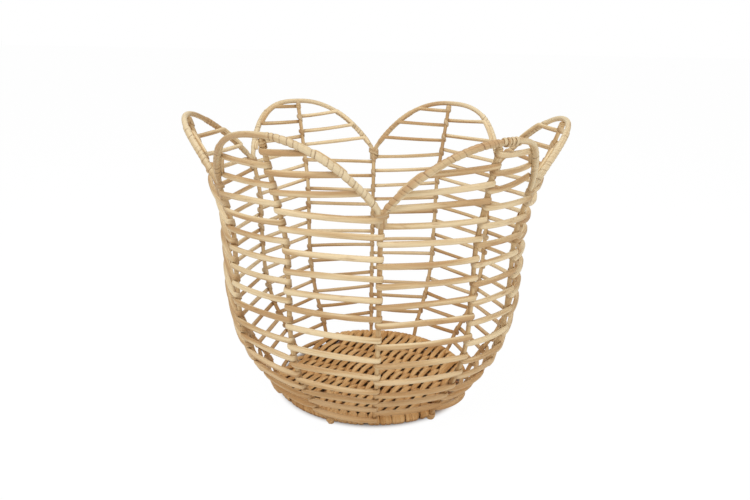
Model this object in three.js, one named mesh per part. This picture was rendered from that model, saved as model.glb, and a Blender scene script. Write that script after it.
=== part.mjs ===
// Open six-petal basket of round cane, woven on twelve upright stakes.
//
// Six of the stakes end in the valleys between the petals and six run up the middle of the petals. Every
// petal is closed by an arched rim rod, whose two ends stand beside the valley stakes and are lashed to
// them. The wall is a six-start helix: six long strands, each starting in a petal of its own, fall by one
// row from petal to petal and take a full turn round every stake they pass. The base is a hoop with
// seven cross rods, woven with strands that turn round the hoop at both ends of every pass.
//
// Units are millimetres, +Z is up, and the origin is the middle of the footprint. The front valley
// points along -Y.

import * as THREE from 'three';

// Counts
const petalCount = 6;
const stakeCount = 2 * petalCount;
const wallRows = 13;
const petalRows = 3;
const baseRodCount = 7;
const basePassCount = 36;
const baseWeaverCount = 4;

// Cane sizes
const stakeRadius = 2.3;
const crownRimRadius = 2.6;
const boundRimRadius = 3.3;
const rimEndRadius = 1.8;
const strandWidth = 4.2;
const lashingWidth = 2.6;
const lashingThickness = 1.2;
const hoopRodRadius = 2.5;
const baseRodRadius = 1.8;

// Clearances between canes that touch in the real basket
const seatGap = 0.3;
const windGap = 0.4;
const rimWindGap = 0.8;

// Wall profile, from the hoop to the petal tips: each station stands above the one before by its rise
// and outside it by its flare
const hoopRadius = 104.5;
const footRise = 5;
const heelRise = 22.5;
const heelFlare = 10;
const flankRise = 36;
const flankFlare = 23.2;
const sideRise = 40;
const sideFlare = 12.8;
const bellyRise = 51;
const bellyFlare = 3.6;
const waistRise = 48;
const waistFlare = 1.8;
const valleyRise = 37;
const valleyFlare = 9.4;
const petalRise = 62;
const petalFlare = 18.8;

// Weave
const lowestRow = 19.8;
const firstRowDrop = 9.5;
const topRowDrop = 9;
const turnFall = 6.4;

// Joints at the valleys and the stake ends
const valleyStakeReach = 6;
const rimEndDrop = 1;
const lashingRise = 1.2;
const lashingTurns = 2;
const stakeFootLift = 1.5;
const startReach = 6;
const startClimb = 1.5;

// Base
const passEdge = 15;
const rodEdge = 24;
const levelChangeRun = 22;
const edgeRodRun = 6;

// Handwork: how far stakes, petals and valleys stray from an even six-fold basket, petal or valley by
// petal or valley, counter-clockwise from +X
const handworkSpread = 6;
const petalLeanShares = [1.1, 0, -0.2, 0.9, 0.55, -1.1];
const petalHeightShares = [0.1, 0.15, 0.15, -0.15, 0.1, -0.75];
const valleyHeightShares = [-0.15, 0, -0.15, 1, -0.15, 0.85];
const stakeTurnDeg = [-1.3, 0, -0.6, -0.4, 0.9, -2, 1.1, 1.4, 0.2, 0.8, 3.6, -3.5];
const rowShiftShares = [0, -0.8, 0.55, -0.4, 0.9, 0, 0, -1.2, 0, 0, 0.5, 0.7];
const weaveTurnDeg = 60;

// Colours of the peeled cane
const stakeColour = 0xc39a68;
const strandColour = 0xd8b688;
const rimColour = 0xdcc09a;
const baseColour = 0xc9a273;

const deg = Math.PI / 180;
const turnStepDeg = 78;
const fullTurnDeg = 360;
const up = new THREE.Vector3(0, 0, 1);

const wrapIndex = (index, count) => ((index % count) + count) % count;
const smoothRise = (t) => {
  const clamped = Math.min(Math.max(t, 0), 1);
  return clamped * clamped * (3 - 2 * clamped);
};

// Profile stations as [height, radius], and the wall as a dense line through them
const footRadius = hoopRadius + hoopRodRadius + seatGap + stakeRadius;

function stackStations(steps) {
  const stations = [[footRise, footRadius]];
  for (const [rise, flare] of steps) {
    const [height, radius] = stations[stations.length - 1];
    stations.push([height + rise, radius + flare]);
  }
  return stations;
}

const stations = stackStations([
  [heelRise, heelFlare],
  [flankRise, flankFlare],
  [sideRise, sideFlare],
  [bellyRise, bellyFlare],
  [waistRise, waistFlare],
  [valleyRise, valleyFlare],
  [petalRise, petalFlare],
]);
const tipHeight = stations[stations.length - 1][0];
const valleyHeight = stations[stations.length - 2][0];
const waistHeight = stations[stations.length - 3][0];

function stationSlope(i) {
  const before = stations[Math.max(i - 1, 0)];
  const after = stations[Math.min(i + 1, stations.length - 1)];
  return (after[1] - before[1]) / (after[0] - before[0]);
}

// Radius of the wall at a height, by a cubic through the stations
function wallRadius(height) {
  if (height <= footRise) return footRadius;
  let i = 0;
  while (i < stations.length - 2 && height > stations[i + 1][0]) i += 1;
  const [lowHeight, lowRadius] = stations[i];
  const [highHeight, highRadius] = stations[i + 1];
  const span = highHeight - lowHeight;
  const t = (height - lowHeight) / span;
  const low = lowRadius * (1 + 2 * t) * (1 - t) ** 2 + span * stationSlope(i) * t * (1 - t) ** 2;
  const high = highRadius * t * t * (3 - 2 * t) + span * stationSlope(i + 1) * t * t * (t - 1);
  return low + high;
}

// Length along the wall from the ground, tabulated against height
const wallTable = [];
const wallSamples = 400;
for (let i = 0, length = 0; i <= wallSamples; i += 1) {
  const height = (tipHeight * i) / wallSamples;
  if (i > 0) {
    const last = wallTable[i - 1];
    length += Math.hypot(height - last.height, wallRadius(height) - wallRadius(last.height));
  }
  wallTable.push({ height, length });
}

function interpolate(value, from, to) {
  let i = 1;
  while (i < wallTable.length - 1 && wallTable[i][from] < value) i += 1;
  const a = wallTable[i - 1];
  const b = wallTable[i];
  return a[to] + ((value - a[from]) / (b[from] - a[from])) * (b[to] - a[to]);
}

const heightAtLength = (length) => interpolate(length, 'length', 'height');
const lengthAtHeight = (height) => interpolate(height, 'height', 'length');

// Rows: level 0 is the row that each strand weaves in its own petal, and levels rise downwards. Levels
// of a whole number cross the petal stakes, and those half a row lower cross the valley stakes.
const valleyLength = lengthAtHeight(valleyHeight);
const rowPitch = (valleyLength - firstRowDrop - lowestRow) / (wallRows - 1);
const topLevelLength = lowestRow + (wallRows - 0.5) * rowPitch;
const petalPitch = (lengthAtHeight(tipHeight) - topRowDrop - topLevelLength) / petalRows;

// Length along the wall of a level at a stake. All rows of a stake are shifted by hand, which fades out
// towards the base and towards the petal tip.
const shiftFadeLevels = [5, 12];

function levelLength(level, index) {
  const [fadeStart, fadeEnd] = shiftFadeLevels;
  const share = rowShiftShares[wrapIndex(index, stakeCount)];
  const fade = level < 0 ? 1 + level / petalRows : 1 - smoothRise((level - fadeStart) / (fadeEnd - fadeStart));
  return topLevelLength - level * (level < 0 ? petalPitch : rowPitch) + handworkSpread * share * Math.max(fade, 0);
}

// Stake bearings, even indices for petals and odd ones for valleys
const stakeBearing = (index) => {
  const lap = Math.floor(index / stakeCount);
  const within = index - lap * stakeCount;
  return ((fullTurnDeg / stakeCount) * index + stakeTurnDeg[within]) * deg;
};
const petalTrim = (shares, petal) => handworkSpread * shares[wrapIndex(petal, petalCount)];

function radial(bearing) {
  return new THREE.Vector3(Math.cos(bearing), Math.sin(bearing), 0);
}

// A point of the wall surface at a bearing and an even height, carried along by the lean and the
// height of the petal it belongs to; hold is 1 in the middle of the petal and 0 at its valleys
function wallPoint(bearing, height, petal, hold) {
  const lean = petalTrim(petalLeanShares, petal) * hold;
  const lift = petalTrim(petalHeightShares, petal) * hold;
  const leaning = smoothRise((height - waistHeight) / (tipHeight - waistHeight));
  const lifting = smoothRise((height - valleyHeight) / (tipHeight - valleyHeight));
  const point = radial(bearing).multiplyScalar(wallRadius(height) + lean * leaning);
  point.z = height + lift * lifting;
  return point;
}

const valleyTop = (valley) => valleyHeight + petalTrim(valleyHeightShares, valley);

// Sections of the canes, as points counter-clockwise round the direction in which they are swept
function roundSection(sides) {
  return Array.from({ length: sides }, (_, i) => {
    const angle = (2 * Math.PI * (i + 0.5)) / sides;
    return [Math.cos(angle), Math.sin(angle)];
  });
}

function barSection(width, thickness) {
  const x = thickness / 2;
  const y = width / 2;
  return [
    [x, -y],
    [x, y],
    [-x, y],
    [-x, -y],
  ];
}

// Sweeps a section along a list of nodes as one closed body, with a mitred ring at every bend. A node is
// { at, up, scale, thin, into, out }: up orients the section, scale multiplies it, thin multiplies its
// thickness alone, and into and out, where given, are the directions that the mitre halves.
function sweep(nodes, section) {
  const sides = section.length;
  const positions = [];
  nodes.forEach((node, i) => {
    const before = nodes[Math.max(i - 1, 0)];
    const after = nodes[Math.min(i + 1, nodes.length - 1)];
    let into = node.into ?? node.at.clone().sub(before.at);
    let out = node.out ?? after.at.clone().sub(node.at);
    if (into.lengthSq() === 0) into = out;
    if (out.lengthSq() === 0) out = into;
    into = into.clone().normalize();
    out = out.clone().normalize();
    const along = into.clone().add(out).normalize();
    const high = node.up.clone().addScaledVector(along, -node.up.dot(along)).normalize();
    const wide = high.clone().cross(along);
    const bendAxis = into.clone().cross(out);
    const spread = new THREE.Vector3();
    let stretch = 0;
    if (bendAxis.lengthSq() > Number.EPSILON) {
      spread.crossVectors(along, bendAxis.normalize());
      stretch = 1 / along.dot(out) - 1;
    }
    const scale = node.scale ?? 1;
    const thin = node.thin ?? 1;
    for (const [x, y] of section) {
      const offset = wide.clone().multiplyScalar(x * scale * thin).addScaledVector(high, y * scale);
      offset.addScaledVector(spread, offset.dot(spread) * stretch).add(node.at);
      positions.push(offset.x, offset.y, offset.z);
    }
  });
  const indices = [];
  const last = (nodes.length - 1) * sides;
  for (let ring = 0; ring < last; ring += sides) {
    for (let side = 0; side < sides; side += 1) {
      const next = (side + 1) % sides;
      const [a, b, c, d] = [ring + side, ring + next, ring + sides + next, ring + sides + side];
      indices.push(a, b, c, a, c, d);
    }
  }
  for (let side = 1; side < sides - 1; side += 1) {
    indices.push(0, side + 1, side);
    indices.push(last, last + side, last + side + 1);
  }
  return orientOutwards(positions, indices);
}

// Closes a loop of rings, such as the hoop, as one body without ends
function sweepLoop(nodes, section) {
  const sides = section.length;
  const positions = [];
  nodes.forEach((node, i) => {
    const before = nodes[wrapIndex(i - 1, nodes.length)];
    const after = nodes[wrapIndex(i + 1, nodes.length)];
    const along = after.at.clone().sub(before.at).normalize();
    const wide = node.up.clone().cross(along).normalize();
    for (const [x, y] of section) {
      const offset = wide.clone().multiplyScalar(x * node.scale);
      offset.addScaledVector(node.up, y * node.scale).add(node.at);
      positions.push(offset.x, offset.y, offset.z);
    }
  });
  const indices = [];
  for (let ring = 0; ring < nodes.length; ring += 1) {
    const start = ring * sides;
    const end = wrapIndex(ring + 1, nodes.length) * sides;
    for (let side = 0; side < sides; side += 1) {
      const next = (side + 1) % sides;
      indices.push(start + side, start + next, end + next, start + side, end + next, end + side);
    }
  }
  return orientOutwards(positions, indices);
}

function orientOutwards(positions, indices) {
  const at = (i) => new THREE.Vector3().fromArray(positions, 3 * i);
  let volume = 0;
  for (let i = 0; i < indices.length; i += 3) {
    volume += at(indices[i]).dot(at(indices[i + 1]).cross(at(indices[i + 2])));
  }
  const geometry = new THREE.BufferGeometry();
  geometry.setAttribute('position', new THREE.Float32BufferAttribute(positions, 3));
  geometry.setIndex(volume > 0 ? indices : indices.slice().reverse());
  geometry.computeVertexNormals();
  return geometry;
}

// A cane that strands are wound on, as a line of nodes with their lengths along the wall
class Cane {
  constructor(nodes) {
    this.nodes = nodes;
  }

  // A post for winding on: the point of this cane at a station, its direction and its outward side
  post(station, radius, gap) {
    let i = 1;
    while (i < this.nodes.length - 1 && this.nodes[i].station < station) i += 1;
    const a = this.nodes[i - 1];
    const b = this.nodes[i];
    const share = (station - a.station) / (b.station - a.station);
    const centre = a.at.clone().lerp(b.at, share);
    let axis = b.at.clone().sub(a.at).normalize();
    if (axis.z < 0) axis = axis.negate();
    const out = centre.clone().setZ(0).normalize();
    const slope = wallSlope(centre.z);
    out.addScaledVector(up, -slope).normalize();
    out.addScaledVector(axis, -out.dot(axis)).normalize();
    const along = axis.clone().cross(out);
    return { centre, axis, out, along, face: radius + gap };
  }
}

function wallSlope(height) {
  const step = stakeRadius;
  const low = Math.max(height - step, footRise);
  const high = Math.min(height + step, tipHeight);
  if (high <= low) return 0;
  return (wallRadius(high) - wallRadius(low)) / (high - low);
}

// Stakes: their bends lie midway between the rows, so that every turn sits on a straight stretch
const rowsPerBend = 2;

function bendLevels(lowest, highest) {
  const levels = [];
  for (let level = lowest; level >= highest; level -= rowsPerBend) levels.push(level);
  return levels;
}

const petalBendLevels = bendLevels(wallRows - 1.5, 0.5 - petalRows);
const valleyBendLevels = bendLevels(wallRows - 1, 2);

function makeStake(index) {
  const bearing = stakeBearing(index);
  const isPetal = index % 2 === 0;
  const petal = index / 2;
  const onWall = (length) => {
    const height = heightAtLength(length);
    const at = isPetal ? wallPoint(bearing, height, petal, 1) : wallPoint(bearing, height, 0, 0);
    return { at, up: radial(bearing), station: length, scale: stakeRadius };
  };
  const nodes = [onWall(stakeFootLift), onWall(footRise)];
  for (const level of isPetal ? petalBendLevels : valleyBendLevels) nodes.push(onWall(levelLength(level, index)));
  const valley = (index - 1) / 2;
  const topLength = isPetal
    ? lengthAtHeight(tipHeight) - crownRimRadius - seatGap
    : lengthAtHeight(valleyTop(valley) + valleyStakeReach);
  nodes.push(onWall(topLength));
  return new Cane(nodes);
}

const stakes = Array.from({ length: stakeCount }, (_, index) => makeStake(index));
const stakeAt = (index) => stakes[wrapIndex(index, stakeCount)];

// Rims: a petal's rim is an arch on the wall surface, from valley to valley over the petal tip. Share
// runs from -1 at the clockwise valley to 1 at the counter-clockwise one. Each side of the arch has a
// fullness of its own: 0 is a parabola, and more makes its shoulder rounder.
const rimBendShares = [0.14, 0.28, 0.42, 0.56, 0.7, 0.83];
const clockwiseFullnessShares = [0.2, 0.6, 0.2, 0, 0.6, 0];
const counterFullnessShares = [0.2, 0.2, 0.8, 0.2, 0, 1.6];
const boundShare = 0.36;

function rimBearing(petal, share) {
  const middle = stakeBearing(2 * petal);
  const end = stakeBearing(2 * petal + Math.sign(share));
  return middle + (end - middle) * Math.abs(share);
}

const rimPower = (petal, side) => 2 + (side < 0 ? clockwiseFullnessShares : counterFullnessShares)[petal];
const rimFall = (petal, share) => Math.abs(share) ** rimPower(petal, share);

function rimHeight(petal, share) {
  const valley = share < 0 ? petal - 1 : petal;
  return tipHeight - (tipHeight - valleyTop(valley)) * rimFall(petal, share);
}

function rimShareAtHeight(petal, height, side) {
  const valley = side < 0 ? petal - 1 : petal;
  const fall = Math.max((tipHeight - height) / (tipHeight - valleyTop(valley)), 0);
  return side * fall ** (1 / rimPower(petal, side));
}

// The share at which the rim's centre line comes beside the valley stake
function rimEndShare(petal, side) {
  const valleyStake = stakeBearing(2 * petal + side);
  const panel = Math.abs(valleyStake - stakeBearing(2 * petal)) * wallRadius(valleyHeight);
  return side * (1 - (stakeRadius + rimEndRadius + seatGap) / panel);
}

function makeRim(petal) {
  const rimNode = (share, scale) => {
    const bearing = rimBearing(petal, share);
    const at = wallPoint(bearing, rimHeight(petal, share), petal, 1 - rimFall(petal, share));
    return { at, up: radial(bearing), station: share, scale };
  };
  const endNode = (side) => {
    const share = rimEndShare(petal, side);
    const valley = side < 0 ? petal - 1 : petal;
    const at = wallPoint(rimBearing(petal, share), valleyTop(valley) - rimEndDrop, petal, 0);
    return { at, up: radial(rimBearing(petal, share)), station: side, scale: rimEndRadius };
  };
  const half = (side) => {
    const nodes = rimBendShares.map((share) =>
      rimNode(side * share, share < boundShare ? crownRimRadius : boundRimRadius),
    );
    return [...nodes, rimNode(rimEndShare(petal, side), rimEndRadius), endNode(side)];
  };
  return new Cane([...half(-1).reverse(), rimNode(0, crownRimRadius), ...half(1)]);
}

const rims = Array.from({ length: petalCount }, (_, petal) => makeRim(petal));

// Winds a strand past a list of posts, with a full turn round each one between the first and the last.
// The strand starts behind the first post and ends behind the last. It keeps its thickness where it
// faces outwards, and is pressed flat where it goes round the sides and the back of a post.
const tuckStartDeg = 75;
const tuckEndDeg = 285;
const pressedShare = 0.38;
const facingShare = 0.5;

function leadDeg(from, to, post) {
  const reach = to.centre.clone().sub(from.centre);
  return Math.atan2(reach.dot(post.out), reach.dot(post.along)) / deg;
}

function windPast(posts, fall, firstDeg = tuckStartDeg, lastDeg = tuckEndDeg) {
  const nodes = [];
  posts.forEach((post, i) => {
    const start = i > 0 ? -leadDeg(posts[i - 1], post, post) : firstDeg;
    const end = i < posts.length - 1 ? fullTurnDeg - leadDeg(post, posts[i + 1], post) : lastDeg;
    const count = Math.round((end - start) / turnStepDeg);
    const step = (end - start) / count;
    for (let k = 0; k < count; k += 1) {
      const angle = start + (k + 0.5) * step;
      const thin = Math.cos(angle * deg) > facingShare ? 1 : pressedShare;
      const reach = (post.face + (thin * strandWidth) / 2) / Math.cos((step / 2) * deg);
      const at = post.centre
        .clone()
        .addScaledVector(post.out, reach * Math.cos(angle * deg))
        .addScaledVector(post.along, reach * Math.sin(angle * deg))
        .addScaledVector(post.axis, fall * (0.5 - angle / fullTurnDeg));
      nodes.push({ at, up: post.axis, thin });
    }
  });
  return nodes;
}

const strandSection = barSection(strandWidth, strandWidth);
const stakePost = (index, level) => stakeAt(index).post(levelLength(level, index), stakeRadius, windGap);
const rimPost = (petal, share) => rims[petal].post(share, boundRimRadius, rimWindGap);
const jointPost = (valley, rise) =>
  stakeAt(2 * valley + 1).post(lengthAtHeight(valleyTop(valley) + rise), stakeRadius, windGap);
const jointReach = Math.max(stakeRadius, rimEndRadius) + 2 * seatGap + lashingThickness;

// A wall weaver is fastened across the outward face of the joint at its petal's clockwise valley, and
// winds down the whole wall
function makeWallWeaver(petal) {
  const joint = jointPost(petal - 1, startClimb);
  const reach = jointReach + 2 * windGap + (pressedShare * strandWidth) / 2;
  const nodes = [-1, 1].map((side) => {
    const at = joint.centre
      .clone()
      .addScaledVector(joint.out, reach)
      .addScaledVector(joint.along, side * startReach)
      .addScaledVector(joint.axis, side * startClimb);
    return { at, up: joint.axis, thin: pressedShare };
  });
  const posts = [];
  for (let step = 0; step < 2 * wallRows; step += 1) posts.push(stakePost(2 * petal + step, step / 2));
  nodes.push(...windPast(posts, turnFall, -leadDeg(joint, posts[0], posts[0])));
  return sweep(nodes, strandSection);
}

// A petal row runs from rim to rim and takes its turn round the petal stake; the top one starts on the
// stake and only has its counter-clockwise half. No row ends lower on the rim than a part of its fall.
const rowEndFallShare = 0.7;

function makePetalRow(petal, level) {
  const isTop = level === -petalRows;
  const middle = stakePost(2 * petal, level);
  const arriving = middle.centre.z + turnFall / 2;
  const leaving = middle.centre.z - turnFall / 2;
  const lowest = tipHeight - (tipHeight - valleyTop(petal)) * rowEndFallShare;
  const lastShare = rimShareAtHeight(petal, Math.max(leaving, lowest), 1);
  const posts = [middle, rimPost(petal, lastShare)];
  if (!isTop) posts.unshift(rimPost(petal, rimShareAtHeight(petal, arriving, -1)));
  const firstDeg = isTop ? 2 * turnStepDeg : tuckStartDeg;
  return sweep(windPast(posts, turnFall, firstDeg), strandSection);
}

// A lashing binds two rim ends to the valley stake between them
function makeLashing(valley) {
  const post = jointPost(valley, lashingRise);
  const acrossReach = stakeRadius + 2 * rimEndRadius + 2 * seatGap + lashingThickness / 2;
  const outReach = jointReach - lashingThickness / 2;
  const cornerAngles = [45, 135, 225, 315];
  const pitch = lashingWidth + seatGap;
  const nodes = [];
  const count = lashingTurns * cornerAngles.length;
  for (let i = 0; i <= count; i += 1) {
    const angle = cornerAngles[i % cornerAngles.length] * deg;
    const at = post.centre
      .clone()
      .addScaledVector(post.out, Math.sign(Math.cos(angle)) * outReach)
      .addScaledVector(post.along, Math.sign(Math.sin(angle)) * acrossReach)
      .addScaledVector(post.axis, pitch * (0.5 * lashingTurns - i / cornerAngles.length));
    nodes.push({ at, up: post.axis });
  }
  return sweep(nodes, barSection(lashingWidth, lashingThickness));
}

// Base: the hoop lies between the upper and the lower passes of the strands that turn round it
const passReach = hoopRodRadius + strandWidth / 2 + windGap;
const baseHeight = passReach + strandWidth / 2;
const passDirection = radial(weaveTurnDeg * deg);
const rodDirection = new THREE.Vector3(passDirection.y, -passDirection.x, 0);
const passPitch = (2 * (hoopRadius - passEdge)) / (basePassCount - 1);
const rodPitch = (2 * (hoopRadius - rodEdge)) / (baseRodCount - 1);
const innerTurnRadius = hoopRadius - passReach;
const outerTurnRadius = hoopRadius + passReach;

const passOffset = (pass) => (pass - (basePassCount - 1) / 2) * passPitch;
const rodOffset = (rod) => (rod - (baseRodCount - 1) / 2) * rodPitch;

const hoopSteps = 36;
const hoopSides = 6;

function makeHoop() {
  const nodes = Array.from({ length: hoopSteps }, (_, i) => {
    const at = radial((fullTurnDeg / hoopSteps) * i * deg).multiplyScalar(hoopRadius);
    return { at: at.setZ(baseHeight), up, scale: hoopRodRadius };
  });
  return sweepLoop(nodes, roundSection(hoopSides));
}

function makeBaseRod(rod) {
  const offset = rodOffset(rod);
  const innerRadius = hoopRadius - hoopRodRadius - seatGap;
  const half = Math.sqrt(innerRadius ** 2 - (Math.abs(offset) + baseRodRadius) ** 2);
  const nodes = [-half, half].map((reach) => {
    const at = rodDirection.clone().multiplyScalar(reach).addScaledVector(passDirection, offset);
    return { at: at.setZ(baseHeight), up, scale: baseRodRadius };
  });
  return sweep(nodes, roundSection(6));
}

// Where the passes meet the hoop: passes that share a turn stay in one gap between two stakes, and all
// passes of a gap are spread evenly over it
function spreadTurns(side) {
  const reach = (pass) => Math.asin(passOffset(pass) / hoopRadius);
  const bearingOf = (pass) => weaveTurnDeg * deg + (side > 0 ? -reach(pass) : Math.PI + reach(pass));
  const groups = [];
  for (let pass = side > 0 ? 0 : -1; pass < basePassCount; pass += 2) {
    groups.push([pass, pass + 1].filter((p) => p >= 0 && p < basePassCount));
  }
  const gaps = new Map();
  for (const group of groups) {
    const bearing = group.reduce((sum, pass) => sum + bearingOf(pass), 0) / group.length;
    let gap = 0;
    while (stakeBearing(gap + 1) < bearing) gap += 1;
    if (!gaps.has(gap)) gaps.set(gap, []);
    gaps.get(gap).push(...group);
  }
  const margin = (stakeRadius + strandWidth / 2 + windGap) / footRadius;
  const bearings = new Map();
  for (const [gap, passes] of gaps) {
    const low = stakeBearing(gap) + margin;
    const high = stakeBearing(gap + 1) - margin;
    passes.sort((a, b) => bearingOf(a) - bearingOf(b));
    const first = Math.max(low, Math.min(bearingOf(passes[0]), low + margin));
    const last = passes.length - 1;
    passes.forEach((pass, i) => {
      bearings.set(pass, last > 0 ? first + ((high - first) * i) / last : bearingOf(pass));
    });
  }
  return bearings;
}

const turnBearings = { [-1]: spreadTurns(-1), 1: spreadTurns(1) };

// One pass of a base strand, from its turn on one side of the hoop to its turn on the other. Levels are
// 1 above and -1 below the rods and the hoop.
function passNodes(pass, isFirst, isLast) {
  const direction = pass % 2 === 0 ? 1 : -1;
  const heading = passDirection.clone().multiplyScalar(direction);
  const offset = passOffset(pass);
  const startBearing = turnBearings[-direction].get(pass);
  const endBearing = turnBearings[direction].get(pass);
  const startLevel = -1;
  const endLevel = 1;
  const turnPoint = (bearing, radius, level) =>
    radial(bearing).multiplyScalar(radius).setZ(baseHeight + level * passReach);
  const inwards = radial(startBearing).negate();
  const outwards = radial(endBearing);
  const down = up.clone().negate();
  const start = turnPoint(startBearing, innerTurnRadius, startLevel);
  const end = turnPoint(endBearing, innerTurnRadius, endLevel);
  const nodes = [];
  if (!isFirst) {
    nodes.push({ at: turnPoint(startBearing, outerTurnRadius, startLevel), up, into: down, out: inwards });
  }
  nodes.push({ at: start, up, into: inwards, out: heading });
  nodes.push(...crossingNodes(pass, offset, direction, start, end, startLevel, endLevel));
  nodes.push({ at: end, up, into: heading, out: outwards });
  if (!isLast) nodes.push({ at: turnPoint(endBearing, outerTurnRadius, endLevel), up, into: outwards, out: down });
  return nodes;
}

const rodClear = baseRodRadius + strandWidth / 2 + windGap;
const rodWeaveReach = rodClear / Math.cos(Math.atan((2 * rodClear) / rodPitch));

function crossingNodes(pass, offset, direction, start, end, startLevel, endLevel) {
  const startRun = start.dot(passDirection) * direction;
  const endRun = end.dot(passDirection) * direction;
  const crossings = [];
  for (let rod = 0; rod < baseRodCount; rod += 1) {
    const rodRun = rodOffset(rod) * direction;
    if (rodRun < startRun - edgeRodRun || rodRun > endRun + edgeRodRun) continue;
    const run = Math.min(Math.max(rodRun, startRun + edgeRodRun), endRun - edgeRodRun);
    let level = (pass + rod) % 2 === 0 ? 1 : -1;
    if (run - startRun < levelChangeRun) level = startLevel;
    if (endRun - run < levelChangeRun) level = endLevel;
    crossings.push({ run, level });
  }
  crossings.sort((a, b) => a.run - b.run);
  return crossings.map(({ run, level }) => {
    const at = passDirection.clone().multiplyScalar(run * direction).addScaledVector(rodDirection, offset);
    return { at: at.setZ(baseHeight + level * rodWeaveReach), up };
  });
}

function makeBaseWeaver(index) {
  const first = Math.round((basePassCount * index) / baseWeaverCount);
  const next = Math.round((basePassCount * (index + 1)) / baseWeaverCount);
  const nodes = [];
  for (let pass = first; pass < next; pass += 1) nodes.push(...passNodes(pass, pass === first, pass === next - 1));
  return sweep(nodes, strandSection);
}

// Assembly
const basket = new THREE.Group();

function addPiece(name, geometry, colour, roughness) {
  const material = new THREE.MeshStandardMaterial({ color: colour, roughness, metalness: 0 });
  const mesh = new THREE.Mesh(geometry, material);
  mesh.name = name;
  basket.add(mesh);
}

const stakeSides = 6;
const rimSides = 6;

for (let petal = 0; petal < petalCount; petal += 1) {
  const label = petal + 1;
  const petalStake = stakeAt(2 * petal).nodes;
  const valleyStake = stakeAt(2 * petal + 1).nodes;
  addPiece(`petal_stake_${label}`, sweep(petalStake, roundSection(stakeSides)), stakeColour, 0.6);
  addPiece(`valley_stake_${label}`, sweep(valleyStake, roundSection(stakeSides)), stakeColour, 0.6);
  addPiece(`petal_rim_${label}`, sweep(rims[petal].nodes, roundSection(rimSides)), rimColour, 0.55);
  addPiece(`wall_weaver_${label}`, makeWallWeaver(petal), strandColour, 0.55);
  addPiece(`petal_row_top_${label}`, makePetalRow(petal, -3), strandColour, 0.55);
  addPiece(`petal_row_upper_${label}`, makePetalRow(petal, -2), strandColour, 0.55);
  addPiece(`petal_row_lower_${label}`, makePetalRow(petal, -1), strandColour, 0.55);
  addPiece(`valley_lashing_${label}`, makeLashing(petal), rimColour, 0.6);
}
addPiece('base_hoop', makeHoop(), stakeColour, 0.6);
for (let rod = 0; rod < baseRodCount; rod += 1) addPiece(`base_rod_${rod + 1}`, makeBaseRod(rod), stakeColour, 0.6);
for (let index = 0; index < baseWeaverCount; index += 1) {
  addPiece(`base_weaver_${index + 1}`, makeBaseWeaver(index), baseColour, 0.6);
}

export default basket;
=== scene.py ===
"""Peeled rattan finish and fine shapes for an open-weave basket with six petals.

Sizes are in millimetres until a mesh is made, and the meshes are in metres. Petals and valleys are
counted counter-clockwise from +X, and the valley at the front points along -Y. Stakes with even
numbers stand in petals and the others in valleys. A share or a side below 0 lies clockwise of its
petal's middle.
"""

from __future__ import annotations

import logging
import math
from bisect import bisect_left
from dataclasses import dataclass, field
from enum import Enum
from itertools import accumulate
from random import Random
from typing import Iterator, Sequence, Union

import bpy
from bpy.types import Material
from mathutils import Matrix, Vector

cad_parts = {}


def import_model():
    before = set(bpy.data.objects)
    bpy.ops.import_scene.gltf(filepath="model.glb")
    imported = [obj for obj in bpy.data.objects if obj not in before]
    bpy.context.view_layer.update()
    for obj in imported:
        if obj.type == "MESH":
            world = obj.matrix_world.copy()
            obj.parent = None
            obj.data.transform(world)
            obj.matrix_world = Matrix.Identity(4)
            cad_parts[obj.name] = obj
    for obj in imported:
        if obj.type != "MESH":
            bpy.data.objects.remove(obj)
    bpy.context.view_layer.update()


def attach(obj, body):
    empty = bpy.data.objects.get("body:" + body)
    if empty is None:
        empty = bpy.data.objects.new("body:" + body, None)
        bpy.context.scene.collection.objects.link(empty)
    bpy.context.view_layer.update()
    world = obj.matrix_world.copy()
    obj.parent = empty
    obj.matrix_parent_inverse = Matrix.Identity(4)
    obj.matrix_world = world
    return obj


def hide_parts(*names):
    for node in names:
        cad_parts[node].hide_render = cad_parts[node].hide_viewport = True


LOG = logging.getLogger("basket")
MM = 0.001
PETALS = 6
STAKES = 12
FULL_TURN = 360.0
UP = Vector((0.0, 0.0, 1.0))
WHITE = (1.0, 1.0, 1.0, 1.0)
Pair = tuple[float, float]
Numbers = tuple[float, ...]
Colour = tuple[int, int, int]


# Points and routes


def smooth(t: float) -> float:
    """Smooth rise from 0 to 1 over t from 0 to 1."""
    clamped = min(max(t, 0.0), 1.0)
    return clamped * clamped * (3 - 2 * clamped)


def ramp(start: float, span: float, steps: int) -> list[float]:
    """Values in even steps from a start over a span, with both ends."""
    return [start + span * step / steps for step in range(steps + 1)]


@dataclass
class Post:
    """A stretch of cane that a strand is wound on, with its radius."""

    centre: Vector
    axis: Vector
    out: Vector
    along: Vector
    radius: float

    def away(self, angle: float) -> Vector:
        """Direction at an angle in radians round the post, with 0 on the outward side."""
        return self.out * math.cos(angle) + self.along * math.sin(angle)


@dataclass
class Spot:
    """A point of a route, and the vector along which the strand is pressed flat there."""

    at: Vector
    press: Vector

    def blend(self, other: Spot, share: float) -> Spot:
        """The spot at a share of the way to another."""
        return Spot(self.at.lerp(other.at, share), self.press.lerp(other.press, share))


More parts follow.
